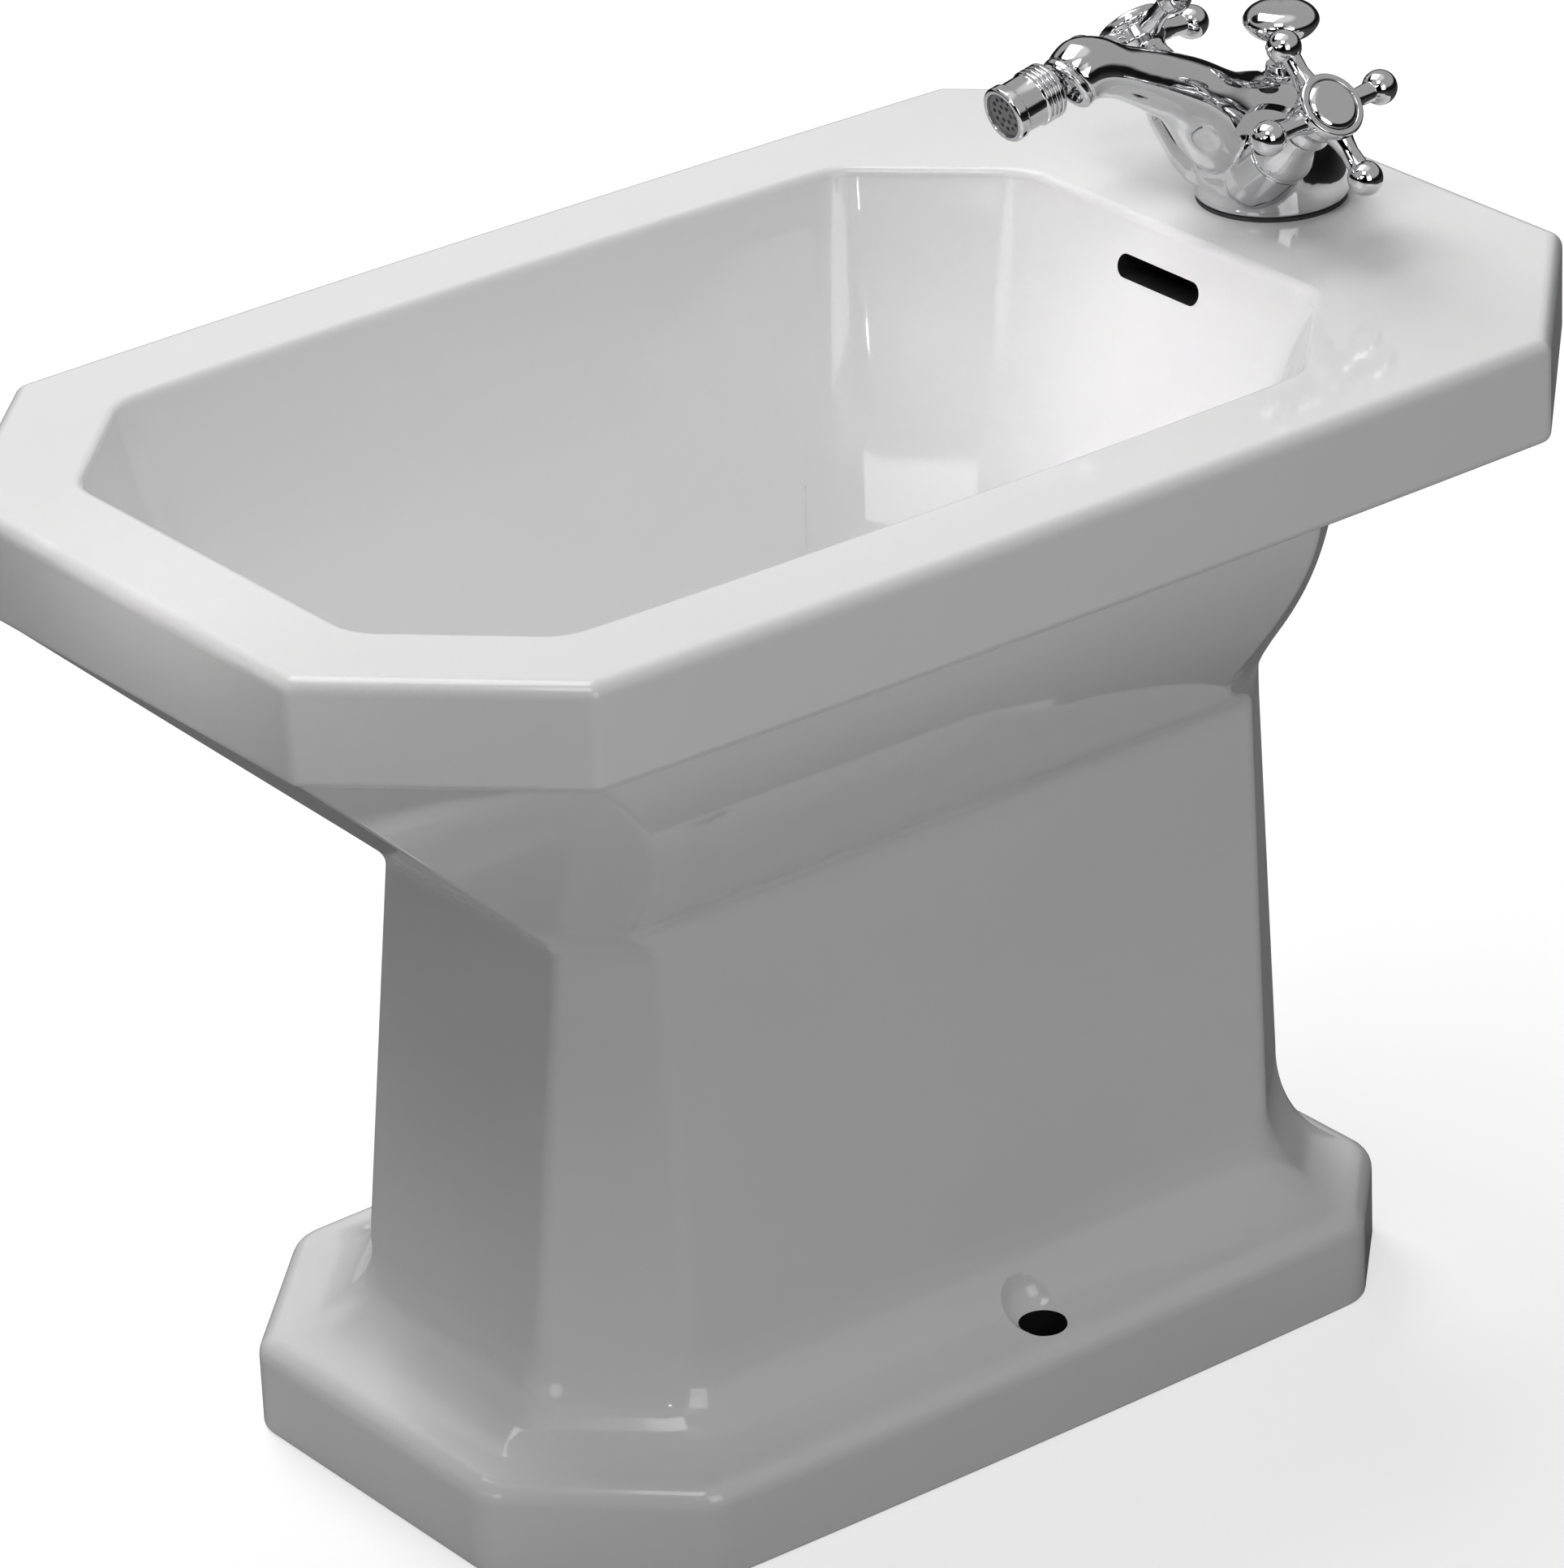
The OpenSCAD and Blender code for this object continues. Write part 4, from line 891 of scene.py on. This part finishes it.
def horn(name):
    """The tap's body from its round foot to the ball's socket, as one smooth skin of oval sections."""
    foot_r, head_r, reach, rise = TAP_FOOT_R, 11.5, SPOUT_REACH, SPOUT_RISE
    dip = math.radians(SOCKET_PITCH)
    stations = [
        (0, 2.5, 0, foot_r, foot_r), (0, 4.5, 0, foot_r, foot_r),
        (-0.01 * reach, 0.16 * rise, 6, foot_r - 0.5, foot_r - 0.5),
        (-0.055 * reach, 0.293 * rise, 20, foot_r - 2.5, foot_r - 1.5),
        (-0.14 * reach, 0.427 * rise, 38, foot_r - 5, foot_r - 5.5),
        (-0.28 * reach, 0.507 * rise, 50, 21, 19), (-0.445 * reach, 0.693 * rise, 55, 18, 14),
        (-0.61 * reach, 0.813 * rise, 58, 15.5, 12), (-0.79 * reach, 0.92 * rise, 66, head_r + 2, 10.3),
        (-0.913 * reach, 0.985 * rise, 78, head_r + 1, head_r),
        (-reach, rise, 100, head_r + 0.6, head_r + 0.8),
        (-reach - 6 * math.cos(dip), rise - 6 * math.sin(dip), 90 + SOCKET_PITCH, head_r, head_r)]
    line = smooth_line(stations, 8)
    line = [(0, 1.5, 0, foot_r - 1, foot_r - 1), (0, 1.6, 0, foot_r - 0.4, foot_r - 0.4),
            (0, 2.0, 0, foot_r - 0.1, foot_r - 0.1)] + line
    around = [2 * math.pi * j / HORN_STEPS for j in range(HORN_STEPS)]
    rings = []
    for y, z, tilt, wide, deep in line:
        c, s = math.cos(math.radians(tilt)), math.sin(math.radians(tilt))
        rings.append([(wide * math.cos(a), y + deep * math.sin(a) * c, z + deep * math.sin(a) * s)
                      for a in around])
    piece = loft(name, rings)
    piece.data.transform(at_tap())
    return piece


def bar_at(name, place, x, y, radius, start, end):
    """A round bar along the Z of a place, from start to end in millimetres."""
    bar = round_bar(name, (x, y, start), radius, end - start)
    bar.data.transform(place)
    return bar


class BIDET_OT_tap(bpy.types.Operator):
    """Build the tap's chrome body with its two valve bosses and the ball's socket"""

    bl_idname = "bidet.tap"
    bl_label = "Tap body"

    def execute(self, context):
        piece, tap, rod = horn("tap_casting"), at_tap(), at_rod()

        def cut(name, place, radius, start, end, x=0, y=0):
            combine(piece, bar_at(name, place, x, y, radius, start, end), "DIFFERENCE")

        def add(name, outline, place, soften):
            combine(piece, turned(name, outline, place, soften), "UNION")

        for side in (-1, 1):
            add("boss", [(0, 8), (8, 9), (11.6, 16), (12.9, 24), (12.6, 42), (0, 42)], on_valve(side), 0)
        cast(piece, 0.7 * MM, 14)
        # the bosses' trimmed ends and the foot keep crisp edges
        for side in (-1, 1):
            cut("trim", on_valve(side), 20, 38.5, 50)
            add("lip", [(0, 37), (12.5, 37), (12.5, 40), (0, 40)], on_valve(side), 0.5)
            cut("bore", on_valve(side), 8.5, 16, 41)
        cut("level", tap, 60, -20, 3)
        foot = TAP_FOOT_R
        add("foot", [(0, 1.5), (foot - 1, 1.5), (foot, 2.5), (foot, 4.2), (foot - 0.5, 5), (0, 5)], tap, 0.4)
        combine(piece, bar_at("spigot", tap, 0, 0, 16.5, -8, 2.5), "UNION")
        for side in (-1, 1):
            cut("inlet", tap, 4.5, -9, 4, side * 9.5, 1)
        cut("stud_hole", tap, 4, -9, 6, 0, -11)
        cut("rod_way", rod, 3, -9, 44)
        cut("gland_hole", rod, 5, 35, 44)
        cut("gland_seat", rod, 9.5, 43, 63)
        cut("socket", on_ball(SOCKET_PITCH), 8.5, -6.3, 16)
        tidy_mesh(piece, 1e-5)
        shade(piece, 30)
        weigh_normals(piece)
        paint(piece.data, chrome())
        hand_over(piece, "bidet", "tap_body")
        return {"FINISHED"}


def on_ball_skin(radius, centre, start, end, step):
    """The outline of a ball with its centre at a height, between two angles from its lowest point."""
    return [(radius * math.sin(a), centre - radius * math.cos(a))
            for a in np.radians(np.arange(start, end, step))]


class BIDET_OT_handles(bpy.types.Operator):
    """Build the two cross handles, their bonnets and their bare index buttons"""

    bl_idname = "bidet.handles"
    bl_label = "Cross handles"

    def execute(self, context):
        rim, back, top = 13.25, 59.5, 81
        hub_line = [
            (0, back), (rim - 5, back), (rim - 3.7, back + 1), (rim - 3.9, back + 3), (rim - 4.9, back + 5.5),
            (rim - 4.4, back + 8.5), (rim - 2.2, back + 11), (rim - 2.2, top - 5), (rim - 0.6, top - 4.4),
            (rim, top - 3.4), (rim, top - 1), (rim - 0.7, top), (10.25, top), (10.25, top - 3), (0, top - 3)]
        ball_r, reach = 6.75, 29
        arm_line = [(0, 8), (5.4, 8), (5, 11), (4.1, 14.5), (3.6, 18),
                    *on_ball_skin(ball_r, reach, 36, 180, 9), (0, reach + ball_r)]
        bonnet_line = [
            (8.25, 40), (12.5, 40), (12.5, 42), (11.8, 45), (9.55, 50), (8.35, 54), (8.05, 58), (6.35, 58),
            (6.35, 47), (8.25, 47)]
        button_line = [(0, top - 3), (10, top - 3), (10, top), (8.5, top + 1), (5, top + 1.7), (0, top + 2)]
        for side, name in ((-1, "hot"), (1, "cold")):
            place = on_valve(side)
            hub = turned(f"hub_{name}", hub_line, place, 0.8)
            arm = turned(f"arm_{name}", arm_line, spun(90, "Y"), 0.2, 48)
            grow_by(arm, "Copies round an axis", chrome(), count=4, first=math.radians(5))
            arm.data.transform(place @ moved(0, 74))
            shade(arm, 40)
            handle = joined(f"cross_handle_{name}", hub, arm)
            hand_over(handle, f"{name}_handle", f"handle_{name}")
            button = turned(f"index_button_{name}", button_line, place, 0.5)
            hand_over(button, f"{name}_handle", f"index_{name}")
            bonnet = turned(f"bonnet_cover_{name}", bonnet_line, place, 0.6)
            hand_over(bonnet, "bidet", f"bonnet_{name}")
        return {"FINISHED"}


class BIDET_OT_nozzle(bpy.types.Operator):
    """Build the nozzle's ball, collar and grooved barrel"""

    bl_idname = "bidet.nozzle"
    bl_label = "Ball nozzle"

    def execute(self, context):
        seat_r = 8.3
        collar_line = [(math.sqrt(seat_r * seat_r - z * z), z) for z in np.linspace(4.6, 3.6, 5)] + [
            (8.4, 3.6), (8.4, 6), (11.2, 6), (11.5, 6.5), (11.5, 8.2), (10.7, 9), (8.5, 9)]
        collar = turned("screwed_collar", collar_line, on_ball(SOCKET_PITCH), 0.3)
        ball_line = [(2.5, -7.6), *on_ball_skin(8, 0, 20, 145, 5), (4.2, 14), (2.5, 14)]
        ball = turned("nozzle_ball", ball_line, on_ball(NOZZLE_PITCH), 0.1)
        r, reach = 11, 39
        shell_line = [(4.3, 11.5), (5.8, 11.5), (6.2, 13), (r - 0.6, 16.2), (r, 17)]
        first, pitch, grooves = 18.4, 2.1, context.scene.bidet_metal.grooves
        for z in [first + pitch * k for k in range(grooves)]:
            shell_line += [(r, z), (r - 0.9, z + 0.3), (r - 0.9, z + 0.7), (r, z + 1.0)]
        last = first + pitch * (grooves - 1)
        shell_line += [
            (r, last + 2.0), (r - 0.8, last + 2.6), (r - 0.8, reach - 5), (r, reach - 4.4), (r, reach - 0.8),
            (r - 0.8, reach), (r - 2.2, reach), (r - 2.2, 20), (4.3, 17)]
        shell = turned("nozzle_barrel", shell_line, on_ball(NOZZLE_PITCH), 0.4)
        hand_over(collar, "bidet", "socket_collar")
        hand_over(ball, "nozzle", "swivel_ball")
        hand_over(shell, "nozzle", "nozzle_shell")
        return {"FINISHED"}


class BIDET_OT_knob(bpy.types.Operator):
    """Build the pull knob and the gland of its rod"""

    bl_idname = "bidet.knob"
    bl_label = "Pull knob"

    def execute(self, context):
        cap, foot = 14.5, 54
        knob_line = [(0, 0), (4.2, 0), (4.5, 0.6), (4.5, 2), (5.8, 2.8), (6.2, 4), (5.8, 5.2), (4.5, 6),
                     (4.3, 8)]
        knob_line += [tuple(p) for p in smooth_line(
            [(5.5, 8.3), (cap - 3.5, 10), (cap, 14.5), (cap - 1.4, 18.5), (cap - 6, 21.2), (0, 22)], 8)]
        knob = turned("pull_knob", knob_line, at_rod() @ moved(0, foot), 0.3)
        gland_line = [
            (2.55, 35), (4.9, 35), (4.9, 43), (9, 43), (9, 46), (8, 47), (6.4, 48), (6, 52), (2.55, 52)]
        gland = turned("rod_gland_nut", gland_line, at_rod(), 0.5)
        hand_over(gland, "bidet", "rod_gland")
        hand_over(knob, "lift", "lift_knob")
        return {"FINISHED"}


class BIDET_OT_waste(bpy.types.Operator):
    """Build the waste's flange with its ports for the overflow"""

    bl_idname = "bidet.waste"
    bl_label = "Waste flange"

    def execute(self, context):
        f = form()
        seat_z = f.floor_z - 6
        ledge, foot, flange = seat_z - 1, f.floor_z - 48, seat_z + 1
        flange_line = [
            (21.5, foot), (21.5, flange), (31.5, flange), (31.5, flange + 1.4), (30.5, flange + 2.2),
            (27, flange + 2.4), (19.5, ledge), (16.5, ledge), (16.5, ledge - 2), (19.5, ledge - 4),
            (19.5, foot)]
        ring_piece = turned("waste_flange_ring", flange_line, at_waste(), 0.5)
        for a in range(0, 180, 45):
            port = round_bar("port", (0, 0, -30), 3, 60, steps=24)
            port.data.transform(at_waste() @ moved(0, f.floor_z - 14) @ spun(a, "Z") @ spun(90, "X"))
            combine(ring_piece, port, "DIFFERENCE")
        shade(ring_piece, 40)
        hand_over(ring_piece, "bidet", "waste_flange")
        return {"FINISHED"}


class BIDET_OT_fittings(bpy.types.Operator):
    """Give the CAD pieces that stay in view their finishes"""

    bl_idname = "bidet.fittings"
    bl_label = "Fittings' finishes"

    def execute(self, context):
        finishes = (
            (rubber, ("tap_gasket", "horseshoe_rubber", "flange_seal", "back_seal", "plug_seal",
                      "pivot_seal")),
            (brass, ("mounting_stud", "horseshoe_plate", "stud_nut", "valve_hot", "valve_cold",
                     "spindle_hot", "spindle_cold", "handle_screw_hot", "handle_screw_cold", "back_nut")),
            (grey_plastic, ("ball_seat", "spray_insert", "pivot_nut")),
            (chrome, ("lift_rod", "clevis_strap", "clevis_screw", "waste_body", "tail_pipe", "plug",
                      "pivot_rod", "strap_clip")),
        )
        for material, names in finishes:
            for name in names:
                paint(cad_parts[name].data, material())
        return {"FINISHED"}


# ---- stage ----
def light(name, power, place, aim, width, height, spread=180.0, mirrored=True):
    """A softbox that looks from its place toward its aim; if not mirrored, reflections leave it out."""
    data = bpy.data.lights.new(name, "AREA")
    data.shape = "RECTANGLE"
    data.size, data.size_y = width, height
    data.energy = power
    data.spread = math.radians(spread)
    lamp = put(name, data)
    lamp.location = place
    lamp.rotation_mode = "QUATERNION"
    lamp.rotation_quaternion = (Vector(aim) - Vector(place)).to_track_quat("-Z", "Y")
    lamp.visible_glossy = mirrored


def camera(settings):
    """The scene's camera, from its place, its turn and height round the object, and its roll."""
    a, e, roll = settings.azimuth, settings.elevation, settings.roll
    back = Vector((math.sin(a) * math.cos(e), -math.cos(a) * math.cos(e), math.sin(e)))
    level = Vector((math.cos(a), math.sin(a), 0))
    right = level * math.cos(roll) + back.cross(level) * math.sin(roll)
    up = back.cross(right)
    data = bpy.data.cameras.new("camera")
    data.sensor_width, data.lens = 36.0, settings.lens
    data.clip_start, data.clip_end = 0.1, 60.0
    made = put("camera", data)
    made.matrix_world = Matrix.Translation(settings.place) @ Matrix((right, up, back)).transposed().to_4x4()
    bpy.context.scene.camera = made


def floor_material(colour):
    """White with the object's shadow to the camera, plain grey to the light and dark in reflections.

    Far from the object, where the lamps fade, the white is lifted to the background's.
    """
    made = bpy.data.materials.new("studio_floor")
    made.use_nodes = True
    tree = made.node_tree
    tree.nodes.clear()
    path = node(tree, "ShaderNodeLightPath")
    plain = node(tree, "ShaderNodeBsdfDiffuse", in_Color=(*colour, 1.0))
    dusk = node(tree, "ShaderNodeBsdfDiffuse", in_Color=(0.1, 0.1, 0.1, 1.0))
    white = node(tree, "ShaderNodeBsdfDiffuse", in_Color=(0.5, 0.5, 0.5, 1.0))
    glow = node(tree, "ShaderNodeEmission", in_Color=WHITE)
    place = node(tree, "ShaderNodeTexCoord")
    away = node(tree, "ShaderNodeVectorMath", operation="LENGTH")
    near, far, lit_share = 1.2, 4.0, 0.62
    fade = node(tree, "ShaderNodeMapRange", interpolation_type="SMOOTHSTEP", in_1=near, in_2=far,
                in_3=lit_share, in_4=1.0)
    shown = node(tree, "ShaderNodeAddShader")
    unseen, pick = node(tree, "ShaderNodeMixShader"), node(tree, "ShaderNodeMixShader")
    out = node(tree, "ShaderNodeOutputMaterial")
    wire(tree, (place, "Object", away, 0), (away, "Value", fade, "Value"), (fade, "Result", glow, "Strength"),
         (white, 0, shown, 0), (glow, 0, shown, 1), (path, "Is Camera Ray", pick, 0),
         (path, "Is Glossy Ray", unseen, 0), (plain, 0, unseen, 1), (dusk, 0, unseen, 2),
         (unseen, 0, pick, 1), (shown, 0, pick, 2), (pick, 0, out, "Surface"))
    return made


def studio_world(sky):
    """Plain level light; only reflections see a grey room with a dark horizon, dark sides and a softbox."""
    world = bpy.data.worlds.new("studio")
    bpy.context.scene.world = world
    world.use_nodes = True
    tree = world.node_tree
    tree.nodes.clear()
    link = tree.links.new
    place = node(tree, "ShaderNodeTexCoord")

    def zone(direction, near, far, inside, outside=0.0):
        """A value that goes smoothly from outside to inside round a direction."""
        toward = node(tree, "ShaderNodeVectorMath", operation="DOT_PRODUCT")
        toward.inputs[1].default_value = Vector(direction).normalized()
        ramp = node(tree, "ShaderNodeMapRange", interpolation_type="SMOOTHSTEP", in_1=far, in_2=near,
                    in_3=outside, in_4=inside)
        link(place.outputs["Generated"], toward.inputs[0])
        link(toward.outputs["Value"], ramp.inputs["Value"])
        return ramp.outputs["Result"]

    path = node(tree, "ShaderNodeLightPath")
    walls = zone((0, 0, 1), 0.30, 0.14, 0.48, 0.01)
    ceiling = zone((0, 0, 1), 0.97, 0.86, 0.45)
    dark = math_node(tree, "MULTIPLY", zone((0.70, -0.60, 0.34), 0.93, 0.84, 0.0, 1.0),
                     zone((-0.60, -0.40, 0.69), 0.955, 0.92, 0.02, 1.0))
    softbox = zone((0.36, -0.87, 0.40), 0.992, 0.985, 2.2)
    room = node(tree, "ShaderNodeBackground", in_Color=WHITE)
    shell = math_node(tree, "MULTIPLY", math_node(tree, "ADD", walls, ceiling), dark)
    link(math_node(tree, "ADD", shell, softbox), room.inputs["Strength"])
    mirror = math_node(tree, "MAXIMUM", path.outputs["Is Glossy Ray"], path.outputs["Is Transmission Ray"])
    lit = node(tree, "ShaderNodeBackground", in_Color=WHITE, in_Strength=sky)
    seen = node(tree, "ShaderNodeBackground", in_Color=WHITE, in_Strength=1.0)
    first, second = node(tree, "ShaderNodeMixShader"), node(tree, "ShaderNodeMixShader")
    out = node(tree, "ShaderNodeOutputWorld")
    link(mirror, first.inputs[0])
    wire(tree, (lit, 0, first, 1), (room, 0, first, 2), (path, "Is Camera Ray", second, 0),
         (first, 0, second, 1), (seen, 0, second, 2), (second, 0, out, "Surface"))


class BIDET_OT_stage(bpy.types.Operator):
    """Build the floor, the lamps, the studio's reflections and the camera"""

    bl_idname = "bidet.stage"
    bl_label = "Stage"

    def execute(self, context):
        settings = context.scene.bidet_stage
        mesh, reach = bpy.data.meshes.new("studio_floor"), 9
        corners = [(x * reach, y * reach, 0) for x, y in ((-1, -1), (1, -1), (1, 1), (-1, 1))]
        mesh.from_pydata(corners, [], [(0, 1, 2, 3)])
        floor = put("studio_floor", mesh)
        paint(mesh, floor_material(settings.floor))
        studio_world(settings.sky)
        middle = (0, 0, 0.3)
        light("top_left", settings.key_power, (-0.9, -0.2, 2.6), middle, 1.7, 1.7)
        light("left", 34.0, (-2.1, 0.6, 1.9), middle, 1.2, 1.2, mirrored=False)
        light("low_front", 0.03, (-0.6, -2.0, 0.12), (0, -0.2, -0.05), 0.3, 0.1, 14, mirrored=False)
        light("top_right", 7.2, (0.9, -0.9, 2.3), (0, 0, 0.35), 0.8, 0.8)
        light("right", 2.4, (2.4, -0.6, 2.0), middle, 1.2, 1.2)
        light("low_right", 4.5, (1.6, -0.2, 0.9), (0.1, 0, 0.1), 0.8, 0.8)
        light("spark", 1.2, (1.5, -1.7, 1.75), middle, 0.09, 0.09)
        light("bowl_spot", 0.056, (0.0, -1.6, 0.82), (0.02, 0.17, 0.36), 0.12, 0.12, 10)
        camera(settings)
        context.scene.view_settings.view_transform = "Standard"
        return {"FINISHED"}


class BIDET_PT_build(bpy.types.Panel):
    """Lists the pieces in the order in which they are built"""

    bl_label = "Floor standing bidet"
    bl_idname = "BIDET_PT_build"
    bl_space_type = "VIEW_3D"
    bl_region_type = "UI"
    bl_category = "Bidet"

    def draw(self, context):
        layout = self.layout
        for group in ("bidet_china", "bidet_metal", "bidet_stage"):
            box = layout.box()
            settings = getattr(context.scene, group)
            for name in settings.__annotations__:
                box.prop(settings, name)
        for operator in OPERATORS:
            layout.operator(operator.bl_idname)


OPERATORS = (
    BIDET_OT_china, BIDET_OT_tap, BIDET_OT_handles, BIDET_OT_nozzle, BIDET_OT_knob, BIDET_OT_waste,
    BIDET_OT_fittings, BIDET_OT_stage,
)
SETTINGS = {"bidet_china": ChinaSettings, "bidet_metal": MetalSettings, "bidet_stage": StageSettings}


def register():
    for group in (*SETTINGS.values(), *OPERATORS, BIDET_PT_build):
        bpy.utils.register_class(group)
    for name, group in SETTINGS.items():
        setattr(bpy.types.Scene, name, PointerProperty(type=group))


def unregister():
    for name in SETTINGS:
        delattr(bpy.types.Scene, name)
    for group in reversed((*SETTINGS.values(), *OPERATORS, BIDET_PT_build)):
        bpy.utils.unregister_class(group)


def main():
    register()
    for step in ("china", "tap", "handles", "nozzle", "knob", "waste", "fittings", "stage"):
        getattr(bpy.ops.bidet, step)()


if __name__ == "__main__":
    main()
